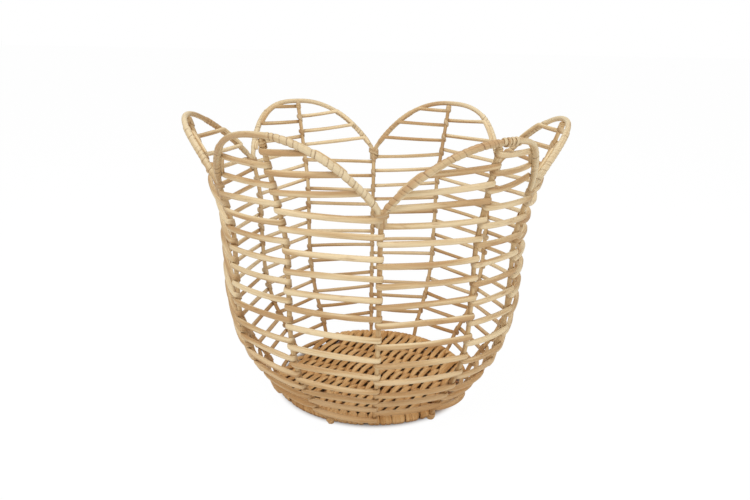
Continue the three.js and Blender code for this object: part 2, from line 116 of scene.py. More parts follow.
class Route:
    """A path that a cane follows, drawn point by point."""

    least_span = 1e-9
    straight = math.cos(math.radians(14))
    press_change = 0.12

    def __init__(self) -> None:
        """Starts an empty path."""
        self.spots: list[Spot] = []

    def add(self, point: Vector, press: Vector = Vector()) -> None:
        """Adds a point to the end of the path."""
        self.spots.append(Spot(point.copy(), press.copy()))

    def join(self, spots: Sequence[Spot]) -> None:
        """Adds finished spots to the end of the path."""
        for spot in spots:
            self.add(spot.at, spot.press)

    def span(self, to: Vector, bow: Vector, count: int = 8) -> None:
        """Crosses a gap to a point in an even bow.

        Args:
            to: the point at the far side of the gap, which the next turn adds.
            bow: how far the middle of the span stands off the straight line.
            count: how many points the span gets.
        """
        start = self.spots[-1].at.copy()
        for step in range(1, count):
            share = step / count
            self.add(start.lerp(to, share) + bow * (4 * share * (1 - share)))

    def even(self, step: float, ease: int, thin: float = 0.0) -> list[Spot]:
        """The path with even steps and eased corners.

        Args:
            step: distance between points while the corners are eased.
            ease: how often the corners are eased.
            thin: longest distance between the points that are kept on straight stretches.

        Returns:
            The spots of the finished path.
        """
        spots = self._spaced(step)
        for _ in range(ease):
            inner = [
                Spot((a.at + b.at * 2 + c.at) / 4, (a.press + b.press * 2 + c.press) / 4)
                for a, b, c in zip(spots, spots[1:], spots[2:])
            ]
            spots = [spots[0], *inner, spots[-1]]
        return self._thinned(spots, thin) if thin else spots

    def _spaced(self, step: float) -> list[Spot]:
        """The path's spots at even distances.

        Args:
            step: the wanted distance.

        Returns:
            Evenly spaced spots, from the first to the last.
        """
        lengths = [0.0]
        for before, after in zip(self.spots, self.spots[1:]):
            lengths.append(lengths[-1] + (after.at - before.at).length)
        count = max(int(lengths[-1] / step), 2)
        result = []
        for place in range(count + 1):
            target = lengths[-1] * place / count
            index = bisect_left(lengths, target, 1, len(lengths) - 1)
            span = max(lengths[index] - lengths[index - 1], self.least_span)
            share = (target - lengths[index - 1]) / span
            result.append(self.spots[index - 1].blend(self.spots[index], share))
        return result

    def _thinned(self, spots: Sequence[Spot], longest: float) -> list[Spot]:
        """Drops spots on straight stretches.

        Args:
            spots: the line's spots.
            longest: longest distance that may open between two kept spots.

        Returns:
            The kept spots.
        """
        kept, heading = [spots[0]], (spots[1].at - spots[0].at).normalized()
        for spot, after in zip(spots[1:], spots[2:]):
            way = (after.at - spot.at).normalized()
            far = (after.at - kept[-1].at).length > longest
            pressed = (after.press - kept[-1].press).length > self.press_change
            if far or pressed or way.dot(heading) < self.straight:
                kept.append(spot)
                heading = way
        return [*kept, spots[-1]]


# Form of the wall


@dataclass(frozen=True)
class WallForm:
    """Shape of the wall, from the hoop at the base to the tips of the petals."""

    hoop_radius: float = 104.5
    hoop_rod: float = 2.5
    stake_radius: float = 2.3
    seat_gap: float = 0.3
    foot_rise: float = 5.0
    rises: Numbers = (22.5, 36.0, 40.0, 51.0, 48.0, 37.0, 62.0)
    flares: Numbers = (10.0, 23.2, 12.8, 3.6, 1.8, 9.4, 18.8)
    rows: int = 13
    petal_rows: int = 3
    lowest_row: float = 19.8
    first_row_drop: float = 9.5
    top_row_drop: float = 9.0
    # Hand work, with leans and lifts as shares of the stray and turns in degrees
    stray: float = 6.0
    leans: Numbers = (1.1, 0.0, -0.2, 0.9, 0.55, -1.1)
    petal_lifts: Numbers = (0.1, 0.15, 0.15, -0.15, 0.1, -0.75)
    valley_lifts: Numbers = (-0.15, 0.0, -0.15, 1.0, -0.15, 0.85)
    stake_turns: Numbers = (
        -1.3, 0.0, -0.6, -0.4, 0.9, -2.0, 1.1, 1.4, 0.2, 0.8, 3.6, -3.5
    )
    stake_shifts: Numbers = (
        0.0, -5.0, 3.3, -2.5, 5.6, 0.0, 0.0, -7.5, 0.0, 0.0, 3.0, 4.5
    )
    shift_fade: Pair = (5.0, 12.0)
    row_strays: Numbers = (
        1.5, 1.8, 0.0, 0.0, 0.0, -0.6, -2.6, -4.8, -5.6, -6.8, -7.0, -5.8, -7.2
    )

    def stations(self) -> list[Pair]:
        """Pairs of height and radius at the profile's stations, from the foot up."""
        foot = self.hoop_radius + self.hoop_rod + self.seat_gap + self.stake_radius
        return list(zip(accumulate((self.foot_rise, *self.rises)), accumulate((foot, *self.flares))))


class Wall:
    """The wall's surface, on which stakes, rows and rims lie."""

    samples = 400
    slope_step = 2.0

    def __init__(self, form: WallForm) -> None:
        """Tabulates length along the wall against height.

        Args:
            form: sizes of the wall.
        """
        self.form = form
        self.pairs = form.stations()
        self.waist, self.valley, self.tip = (height for height, _ in self.pairs[-3:])
        self.heights = [self.tip * sample / self.samples for sample in range(self.samples + 1)]
        self.lengths = [0.0]
        for low, high in zip(self.heights, self.heights[1:]):
            step = math.hypot(high - low, self.radius(high) - self.radius(low))
            self.lengths.append(self.lengths[-1] + step)
        rows_run = self.length_at(self.valley) - form.first_row_drop - form.lowest_row
        self.row_pitch = rows_run / (form.rows - 1)
        self.top_level = form.lowest_row + (form.rows - 0.5) * self.row_pitch
        petal_run = self.length_at(self.tip) - form.top_row_drop - self.top_level
        self.petal_pitch = petal_run / form.petal_rows

    def _slope(self, index: int) -> float:
        """Flare per rise at a station of the profile."""
        low, high = self.pairs[max(index - 1, 0)], self.pairs[min(index + 1, len(self.pairs) - 1)]
        return (high[1] - low[1]) / (high[0] - low[0])

    def radius(self, height: float) -> float:
        """Radius of the wall at a height, by a cubic through the stations.

        Args:
            height: height above the floor.

        Returns:
            The radius to the middle of the stakes.
        """
        if height <= self.pairs[0][0]:
            return self.pairs[0][1]
        index = 0
        while index < len(self.pairs) - 2 and height > self.pairs[index + 1][0]:
            index += 1
        (low_height, low_radius), (high_height, high_radius) = self.pairs[index : index + 2]
        span = high_height - low_height
        t = (height - low_height) / span
        low = low_radius * (1 + 2 * t) * (1 - t) ** 2 + span * self._slope(index) * t * (1 - t) ** 2
        high = high_radius * t * t * (3 - 2 * t) + span * self._slope(index + 1) * t * t * (t - 1)
        return low + high

    @staticmethod
    def _interpolate(value: float, source: Sequence[float], target: Sequence[float]) -> float:
        """Reads a table between its entries, by straight lines.

        Args:
            value: the value that is looked up.
            source: rising entries that it lies among.
            target: entries that belong to them.

        Returns:
            The target's value there.
        """
        index = bisect_left(source, value, 1, len(source) - 1)
        share = (value - source[index - 1]) / (source[index] - source[index - 1])
        return target[index - 1] + share * (target[index] - target[index - 1])

    def height_at(self, length: float) -> float:
        """Height at a length along the wall."""
        return self._interpolate(length, self.lengths, self.heights)

    def length_at(self, height: float) -> float:
        """Length along the wall at a height."""
        return self._interpolate(height, self.heights, self.lengths)

    def level(self, level: float, index: int) -> float:
        """Length along the wall of a row's level at a stake; levels rise downwards.

        Args:
            level: 0 is the row that starts a wall strand in its own petal.
            index: number of the stake.

        Returns:
            The length along the wall, with the strays of the rows and of the stake.
        """
        full, gone = self.form.shift_fade
        shift = self.form.stake_shifts[index % STAKES] * (1 - smooth((level - full) / (gone - full)))
        if level < 0:
            return self.top_level - level * self.petal_pitch + shift
        strays = self.form.row_strays
        place = min(max(level - 0.5, 0.0), len(strays) - 1.0)
        low = min(int(place), len(strays) - 2)
        stray = strays[low] + (place - low) * (strays[low + 1] - strays[low])
        if stray < 0:
            stray *= (1 - math.sin(self.bearing(index))) / 2
        return self.top_level - level * self.row_pitch + stray + shift

    def bearing(self, index: int) -> float:
        """Bearing of a stake in radians, which goes on rising after a full turn."""
        lap, within = divmod(index, STAKES)
        return math.radians(lap * FULL_TURN + within * FULL_TURN / STAKES + self.form.stake_turns[within])

    def point(self, bearing: float, height: float, petal: int, hold: float) -> Vector:
        """A point of the wall, carried along by the lean and the height of its petal.

        Args:
            bearing: bearing in radians.
            height: height on an even basket.
            petal: number of the petal.
            hold: 1 in the middle of the petal and 0 at its valleys.

        Returns:
            The point in millimetres.
        """
        lean = self.form.stray * self.form.leans[petal % PETALS] * hold
        lift = self.form.stray * self.form.petal_lifts[petal % PETALS] * hold
        leaning = smooth((height - self.waist) / (self.tip - self.waist))
        lifting = smooth((height - self.valley) / (self.tip - self.valley))
        reach = self.radius(height) + lean * leaning
        return Vector((math.cos(bearing) * reach, math.sin(bearing) * reach, height + lift * lifting))

    def valley_top(self, valley: int) -> float:
        """Height of a valley, with its stray."""
        return self.valley + self.form.stray * self.form.valley_lifts[valley % PETALS]

    def outward(self, at: Vector) -> Vector:
        """Outward normal of the wall.

        Args:
            at: a point on the wall or close to it.

        Returns:
            The normal beside that point.
        """
        step = self.slope_step
        height = min(max(at.z, self.pairs[0][0] + step), self.tip - step)
        slope = (self.radius(height + step) - self.radius(height - step)) / (2 * step)
        out = Vector((at.x, at.y, 0.0)).normalized()
        return (out - UP * slope).normalized()

    def post(self, centre: Vector, way: Vector, radius: float) -> Post:
        """A stretch of cane on the wall.

        Args:
            centre: its middle.
            way: its direction, up or down.
            radius: its radius.

        Returns:
            The post, with its outward side and its side along the wall.
        """
        axis = way.normalized() * (1 if way.z >= 0 else -1)
        out = self.outward(centre)
        out = (out - axis * out.dot(axis)).normalized()
        return Post(centre, axis, out, axis.cross(out), radius)


# Shapes of the canes


def framed(spots: Sequence[Spot]) -> Iterator[tuple[Spot, Vector, Vector, Vector, float]]:
    """Walks along a line with two directions across it that don't twist.

    Args:
        spots: the line's spots.

    Yields:
        Each spot, the direction along the line, the two across it, and the length so far.
    """
    wide = (spots[1].at - spots[0].at).orthogonal().normalized()
    length = 0.0
    for index, spot in enumerate(spots):
        before, after = spots[max(index - 1, 0)], spots[min(index + 1, len(spots) - 1)]
        along = (after.at - before.at).normalized()
        wide = (wide - along * wide.dot(along)).normalized()
        if index:
            length += (spot.at - before.at).length
        yield spot, along, wide, along.cross(wide), length


@dataclass
class Skin:
    """Rings of points round a cane, with the length so far and the points' painted shade at each."""

    offset: float
    rings: list[tuple[list[Vector], float, list[float]]] = field(default_factory=list)


@dataclass(frozen=True)
class Cut:
    """Size and evenness of one sort of cane."""

    radius: float
    sides: int = 12
    swelling: float = 0.05
    widening: float = 0.22
    most_pressed: float = 0.88
    least_pressed: float = 0.01
    end_taper: float = 0.8
    fuller: float = 0.0
    fuller_reach: float = 180.0
    # Painted shade below a height: a shorter fade to full strength inside a radius, fainter outside it
    shade_below: float = 0.0
    shade_within: float = 102.0
    inner_shade: Pair = (4.0, 1.0)
    outer_shade: Pair = (8.0, 0.84)
    waves: int = 4
    wave_spans: tuple[Pair, ...] = ((0.01, 0.16), (0.0, 6.3), (0.3, 1.0))
    longest_offset: float = 40.0

    def shade(self, at: Vector, amount: float) -> float:
        """Painted shade at a place: darker where the cane is pressed and where it lies low on the mat."""
        fade, most = self.inner_shade if at.xy.length < self.shade_within else self.outer_shade
        return max(amount, most * smooth((self.shade_below - at.z) / fade))

    def skin(self, line: Sequence[Spot], rng: Random) -> Skin:
        """Sweeps the cane along a line, thicker at the front and flattened where it is pressed.

        Args:
            line: the spots of the line.
            rng: source of its swellings.

        Returns:
            The cane's skin.
        """
        waves = [tuple(rng.uniform(*span) for span in self.wave_spans) for _ in range(self.waves)]
        skin = Skin(rng.uniform(0.0, self.longest_offset))
        for spot, along, wide, deep, length in framed(line):
            swell = sum(size * math.sin(length * rate + phase) for rate, phase, size in waves) / 2
            girth = 1 - self.fuller * spot.at.y / self.fuller_reach
            radius = self.radius * girth * (1 + self.swelling * swell)
            if spot is line[0] or spot is line[-1]:
                radius *= self.end_taper
            press = spot.press - along * spot.press.dot(along)
            amount = min(press.length, self.most_pressed)
            thin = press.normalized() if amount > self.least_pressed else Vector()
            ring = []
            for side in range(self.sides):
                angle = 2 * math.pi * side / self.sides
                arm = (wide * math.cos(angle) + deep * math.sin(angle)) * radius
                flat = thin * arm.dot(thin)
                broad = (arm - flat) * (1 + self.widening * amount)
                ring.append(spot.at + broad + flat * (1 - amount))
            # Pressed canes get painted shade, as in a crevice
            skin.rings.append((ring, length, [self.shade(point, amount) for point in ring]))
        return skin


@dataclass(frozen=True)
class Winding:
    """How a strand winds round a cane, with the share of its thickness that is left by angle."""

    strand: float
    front: float = 0.66
    side: float = 0.12
    back: float = 0.22
    gap: float = 0.04
    dwell: float = 0.75
    arc: float = 14.0

    def thickness(self, lean: float) -> float:
        """Share of the strand's thickness, where lean is 1 outside the wall and -1 inside it."""
        more = (self.front - self.side) * lean**2 if lean >= 0 else (self.back - self.side) * -lean
        return self.side + more

    def turn(self, post: Post, start: float, end: float, fall: float) -> list[Spot]:
        """Winds round a post from one angle to another, counter-clockwise seen from its far end.

        Args:
            post: the cane that is wound on.
            start: first angle in degrees, 0 on the outward side of the wall.
            end: last angle in degrees.
            fall: how far a full turn goes down the post.

        Returns:
            The spots of the turn.
        """
        spots = []
        for angle in ramp(start, end - start, max(int(abs(end - start) / self.arc), 1)):
            share = angle / FULL_TURN
            eased = share - self.dwell * math.sin(2 * math.pi * share) / (2 * math.pi)
            left = self.thickness(math.cos(math.radians(angle)))
            away = post.away(math.radians(angle))
            reach = post.radius + self.gap + self.strand * left
            at = post.centre + away * reach + post.axis * (fall * (0.5 - eased))
            spots.append(Spot(at, away * (1 - left)))
        return spots


class Bench:
    """Makes, names and hands over the finished pieces."""

    crease = math.radians(50)

    def __init__(self) -> None:
        """Starts with no pieces."""
        self.count = 0

    def piece(
        self, name: str, skins: Sequence[Skin], finish: Material, slot: str, *nodes: str
    ) -> None:
        """Makes a piece and gives it its finish and its place in the frame.

        Args:
            name: the piece's name.
            skins: the rings of each closed body.
            finish: its material.
            slot: not used.
            nodes: the solids that it stands for.
        """
        obj = bpy.data.objects.new(name, self._mesh(name, skins))
        bpy.context.scene.collection.objects.link(obj)
        bpy.ops.object.select_all(action="DESELECT")
        obj.select_set(True)
        bpy.context.view_layer.objects.active = obj
        bpy.ops.object.mode_set(mode="EDIT")
        bpy.ops.mesh.select_all(action="SELECT")
        bpy.ops.mesh.normals_make_consistent(inside=False)
        bpy.ops.object.mode_set(mode="OBJECT")
        bpy.ops.object.shade_smooth_by_angle(angle=self.crease)
        obj.data.materials.append(finish)
        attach(obj, "root")
        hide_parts(*nodes)
        self.count += 1
        LOG.info("%s: %d faces, for %s", obj.name, len(obj.data.polygons), ", ".join(nodes))

    @staticmethod
    def _mesh(name: str, skins: Sequence[Skin]) -> bpy.types.Mesh:
        """Makes closed bodies from rings of points.

        Args:
            name: the mesh's name.
            skins: the rings of each body.

        Returns:
            The mesh, with its painted shade, and UVs in metres along it and shares of the way round.
        """
        vertices: list[Numbers] = []
        faces: list[tuple[int, ...]] = []
        uvs: list[Pair] = []
        shades: list[float] = []
        for skin in skins:
            first, sides = len(vertices), len(skin.rings[0][0])
            for points, _, ring_shades in skin.rings:
                vertices.extend(tuple(point * MM) for point in points)
                shades.extend(ring_shades)
            places = [length * MM + skin.offset for _, length, _ in skin.rings]
            for ring, (near, far) in enumerate(zip(places, places[1:])):
                for side in range(sides):
                    a = first + ring * sides + side
                    b = first + ring * sides + (side + 1) % sides
                    faces.append((a, b, b + sides, a + sides))
                    low, high = side / sides, (side + 1) / sides
                    uvs.extend(((near, low), (near, high), (far, high), (far, low)))
            faces.append(tuple(reversed(range(first, first + sides))))
            faces.append(tuple(range(len(vertices) - sides, len(vertices))))
            uvs.extend([(skin.offset, 0.5)] * (2 * sides))
        mesh = bpy.data.meshes.new(name)
        mesh.from_pydata(vertices, [], faces)
        layer = mesh.uv_layers.new(name="cane")
        layer.data.foreach_set("uv", [value for uv in uvs for value in uv])
        # Painted shade, which the finishes turn into their crevice colour
        mesh.attributes.new("shade", "FLOAT", "POINT").data.foreach_set("value", shades)
        return mesh


# Shader maths

Value = Union["Signal", float]


class Signal:
    """A socket that can be used in sums, each of which adds a Math node."""

    def __init__(self, shader: Shader, socket: bpy.types.NodeSocket) -> None:
        """Wraps one output socket of a shader."""
        self.shader, self.socket = shader, socket

    def _math(self, operation: str, *values: Value) -> Signal:
        """Adds a Math node."""
        return self.shader.node("ShaderNodeMath", {"operation": operation}, values)

    def __add__(self, other: Value) -> Signal:
        """Sum."""
        return self._math("ADD", self, other)

    def __radd__(self, other: Value) -> Signal:
        """Sum, with the number first."""
        return self._math("ADD", other, self)

    def __mul__(self, other: Value) -> Signal:
        """Product."""
        return self._math("MULTIPLY", self, other)

    def __rmul__(self, other: Value) -> Signal:
        """Product, with the number first."""
        return self._math("MULTIPLY", other, self)

    def sine(self) -> Signal:
        """Sine of a value in radians."""
        return self._math("SINE", self)

    def cosine(self) -> Signal:
        """Cosine of a value in radians."""
        return self._math("COSINE", self)

    def between(self, low: float, high: float) -> Signal:
        """Smooth rise from 0 at low to 1 at high."""
        settings = {"interpolation_type": "SMOOTHSTEP", "clamp": True}
        return self.shader.node("ShaderNodeMapRange", settings, [self, low, high, 0.0, 1.0])


class Shader:
    """The node tree of a material or a world, under construction."""

    def __init__(self, owner: Union[Material, bpy.types.World], output: str) -> None:
        """Starts the tree with its output.

        Args:
            owner: the material or the world.
            output: type of the output node.
        """
        owner.use_nodes = True
        self.tree = owner.node_tree
        self.tree.nodes.clear()
        self.output = self.tree.nodes.new(output)

    def node(
        self,
        kind: str,
        settings: dict[str, object],
        inputs: Union[Sequence[object], dict[Union[int, str], object]],
        output: Union[int, str] = 0,
    ) -> Signal:
        """Adds a node.

        Args:
            kind: the node's type.
            settings: its properties.
            inputs: values or signals by place or by socket name.
            output: the output socket that is wanted.

        Returns:
            That output as a signal.
        """
        node = self.tree.nodes.new(kind)
        for key, value in settings.items():
            setattr(node, key, value)
        for key, value in inputs.items() if isinstance(inputs, dict) else enumerate(inputs):
            if isinstance(value, Signal):
                self.tree.links.new(value.socket, node.inputs[key])
            else:
                node.inputs[key].default_value = value
        return Signal(self, node.outputs[output])

    def split(self, vector: Signal) -> list[Signal]:
        """The three parts of a vector."""
        parts = self.node("ShaderNodeSeparateXYZ", {}, [vector]).socket.node
        return [Signal(self, socket) for socket in parts.outputs]

    def mix(self, factor: Value, first: object, second: object) -> Signal:
        """Mixes two colours, with the factor as the share of the second."""
        settings = {"data_type": "RGBA", "blend_type": "MIX", "clamp_factor": True}
        return self.node("ShaderNodeMix", settings, {0: factor, 6: first, 7: second}, 2)

    def finish(self, surface: Signal) -> None:
        """Feeds the tree's output."""
        self.tree.links.new(surface.socket, self.output.inputs[0])


def srgb(colour: Sequence[int]) -> Numbers:
    """A colour as a screen shows it, turned into linear values."""
    shares = [channel / 255 for channel in colour]
    return (*(s / 12.92 if s <= 0.04045 else ((s + 0.055) / 1.055) ** 2.4 for s in shares), 1.0)


# Finishes


class Grain(Enum):
    """Patterns of the peeled surface: waves to the metre along it, waves across it and detail."""

    FIBRE = (45.0, 4.5, 4.0)
    TONE = (9.0, 0.45, 3.0)
    SPOT = (60.0, 0.9, 2.0)


@dataclass(frozen=True)
class PeeledCane:
    """Peeled rattan: fine fibres along the cane, slow changes of tone, a few stains and painted shade."""

    name: str
    base: Colour
    pale: Colour
    warm: Colour
    stain: Colour = (150, 100, 55)
    stain_amount: float = 0.5
    # Painted shade: darker colour mixed in where canes press together and on low parts of the base
    crevice_shade: Colour = (120, 76, 38)
    crevice_shade_amount: float = 0.7
    # Painted shade: colour mixed in towards the floor, by height
    low: Colour = (178, 131, 77)
    low_shade_amount: float = 0.6
    fibre: float = 0.3
    pale_fibre: float = 0.8
    roughness: float = 0.5
    fibre_roughness: float = 0.16
    specular: float = 0.35
    relief: float = 0.25
    relief_depth: float = 0.0004
    pale_band: Pair = (0.42, 0.62)
    warm_band: Pair = (0.50, 0.34)
    fibre_band: Pair = (0.56, 0.74)
    pale_fibre_band: Pair = (0.44, 0.28)
    stain_band: Pair = (0.62, 0.78)
    low_shade_band: Pair = (0.12, 0.015)
    crevice_shade_band: Pair = (0.3, 1.2)

    def make(self) -> Material:
        """Builds the material.

        Returns:
            The finished material.
        """
        material = bpy.data.materials.new(self.name)
        shader = Shader(material, "ShaderNodeOutputMaterial")
        fibre, tone, spot = self._grains(shader)
        height = shader.split(shader.node("ShaderNodeTexCoord", {}, [], "Object"))[2]
        shade = shader.node("ShaderNodeAttribute", {"attribute_name": "shade"}, [], "Fac")
        tints = (
            (tone.between(*self.pale_band), self.pale),
            (tone.between(*self.warm_band), self.warm),
            (fibre.between(*self.fibre_band) * self.fibre, self.stain),
            (fibre.between(*self.pale_fibre_band) * (self.fibre * self.pale_fibre), self.pale),
            (spot.between(*self.stain_band) * self.stain_amount, self.stain),
            # Painted shade, darker towards the floor
            (height.between(*self.low_shade_band) * self.low_shade_amount, self.low),
            # Painted shade in crevices and low on the base, read from the mesh's shade attribute
            (shade.between(*self.crevice_shade_band) * self.crevice_shade_amount, self.crevice_shade),
        )
        colour: object = srgb(self.base)
        for factor, tint in tints:
            colour = shader.mix(factor, colour, srgb(tint))
        relief = {"Strength": self.relief, "Distance": self.relief_depth, "Height": fibre}
        surface = {
            "Base Color": colour,
            "Roughness": self.roughness + self.fibre_roughness * fibre,
            "Specular IOR Level": self.specular,
            "Normal": shader.node("ShaderNodeBump", {}, relief),
        }
        shader.finish(shader.node("ShaderNodeBsdfPrincipled", {}, surface))
        return material

    @staticmethod
    def _grains(shader: Shader) -> list[Signal]:
        """Adds the patterns, which follow the cane and meet themselves round it.

        Args:
            shader: the material's nodes.

        Returns:
            One signal for each pattern.
        """
        along, around, _ = shader.split(shader.node("ShaderNodeUVMap", {"uv_map": "cane"}, []))
        angle = around * (2 * math.pi)
        across, through = angle.cosine(), angle.sine()
        grains = []
        for run, width, detail in (grain.value for grain in Grain):
            parts = [along * run, across * width, through * width]
            place = shader.node("ShaderNodeCombineXYZ", {}, parts)
            noise = {"Vector": place, "Scale": 1.0, "Detail": detail}
            grains.append(shader.node("ShaderNodeTexNoise", {"noise_dimensions": "3D"}, noise))
        return grains


STRAND = PeeledCane("peeled_strand", (201, 171, 126), (225, 203, 163), (184, 147, 102))
STAKE = PeeledCane("peeled_stake", (194, 161, 114), (208, 181, 137), (176, 139, 94), stain_amount=0.7)
# The binding's and the base's crevice colours are painted shade, deeper than on the other canes
BINDING = PeeledCane(
    "split_binding", (199, 173, 131), (217, 197, 160), (185, 150, 107),
    crevice_shade=(108, 66, 30), crevice_shade_amount=0.9, roughness=0.44
)
BASE = PeeledCane(
    "base_strand", (202, 156, 99), (214, 173, 117), (184, 137, 80),
    crevice_shade=(100, 44, 0), crevice_shade_amount=0.86, stain_amount=0.6, low_shade_amount=0.0
)


# Sub-assemblies


@dataclass
class Stakes:
    """The twelve upright stakes, each a slender rod with its foot beside the hoop."""

    wall: Wall
    radius: float = 2.3
    petal_foot: float = 1.0
    valley_foot: float = 7.0
    foot_tuck: float = 3.4
    foot_run: float = 9.0
    top_gap: float = 2.0
    valley_reach: float = 4.0
    stray: float = 0.12
    stray_runs: Pair = (17.0, 23.0)
    phases: Pair = (0.0, 6.3)
    swung_stake: int = 8
    swing: float = 8.0
    swing_run: float = 22.0
    half_post: float = 3.0
    foot_strand: float = 1.9
    foot_knot: tuple[float, float, float] = (2.4, 5.4, 2.2)
    top_strand: float = 1.0
    top_knot: tuple[float, float, float] = (-9.5, 5.5, 2.6)
    knot_steps: int = 16
    knot_start: float = 120.0
    knot_sink: float = 0.6
    knot_press: float = 0.4
    knot_sides: int = 10
    line_seed: int = 500
    skin_seed: int = 40

    def line(self, index: int) -> list[Spot]:
        """Spots of a stake's middle line.

        Args:
            index: number of the stake.

        Returns:
            Spots from the foot to the top, with their slight wander.
        """
        phase = Random(self.line_seed + index).uniform(*self.phases)
        top, foot, tuck = self.wall.length_at(self.wall.tip) - self.top_gap, self.petal_foot, 0.0
        if index % 2:
            top = self.wall.length_at(self.wall.valley_top(index // 2) + self.valley_reach)
            foot, tuck = self.valley_foot, self.foot_tuck
        first, second = self.stray_runs
        route = Route()
        for length in ramp(foot, top - foot, steps=60):
            at = self.at(index, length)
            inward = Vector((-at.x, -at.y, 0.0)).normalized() * tuck
            inward *= 1 - smooth((length - foot) / self.foot_run)
            wander = Vector((math.sin(length / first + phase), math.cos(length / second + phase), 0.0))
            route.add(at + inward + wander * self.stray)
        return route.even(step=2.5, ease=1)

    def at(self, index: int, length: float) -> Vector:
        """Point of a stake.

        Args:
            index: number of the stake.
            length: length along the wall.

        Returns:
            The point of its middle line.
        """
        hold = 0.0 if index % 2 else 1.0
        bearing = self.wall.bearing(index)
        if index % STAKES == self.swung_stake:
            bearing += math.radians(self.swing) * (1 - smooth(length / self.swing_run))
        return self.wall.point(bearing, self.wall.height_at(length), index // 2, hold)

    def post(self, index: int, length: float) -> Post:
        """The stretch of a stake that a row is wound on, at a length along the wall."""
        way = self.at(index, length + self.half_post) - self.at(index, length - self.half_post)
        return self.wall.post(self.at(index, length), way, self.radius)

    def _knot(self, index: int, strand: float, knot: tuple[float, float, float]) -> list[Spot]:
        """Path of the turns that bind a petal stake to the hoop or to its rim.

        Args:
            index: number of the stake.
            strand: radius of what it is bound with.
            knot: length along the wall at which they begin, their rise and their number.

        Returns:
            The spots of the turns.
        """
        start, rise, turns = knot
        route = Route()
        for step, length in enumerate(ramp(start, rise, int(turns * self.knot_steps))):
            post = self.post(index, length)
            away = post.away(math.radians(FULL_TURN * step / self.knot_steps + self.knot_start))
            reach = self.radius + strand * self.knot_sink
            route.add(post.centre + away * reach, press=away * self.knot_press)
        return route.even(step=1.2, ease=1)

    def build(self, bench: Bench, finish: Material) -> None:
        """Makes the stakes, each petal stake with the knots at its foot and top.

        Args:
            bench: where the pieces are made.
            finish: their material.
        """
        start, rise, turns = self.top_knot
        top_knot = (start + self.wall.length_at(self.wall.tip), rise, turns)
        for index in range(STAKES):
            name = f"{'valley' if index % 2 else 'petal'}_stake_{index // 2 + 1}"
            rng = Random(self.skin_seed + index)
            skins = [Cut(self.radius).skin(self.line(index), rng)]
            knots = ((self.foot_strand, self.foot_knot), (self.top_strand, top_knot))
            for strand, knot in () if index % 2 else knots:
                cut = Cut(strand, sides=self.knot_sides)
                skins.append(cut.skin(self._knot(index, strand, knot), rng))
            bench.piece(f"dressed_{name}", skins, finish, "stake_cane", name)


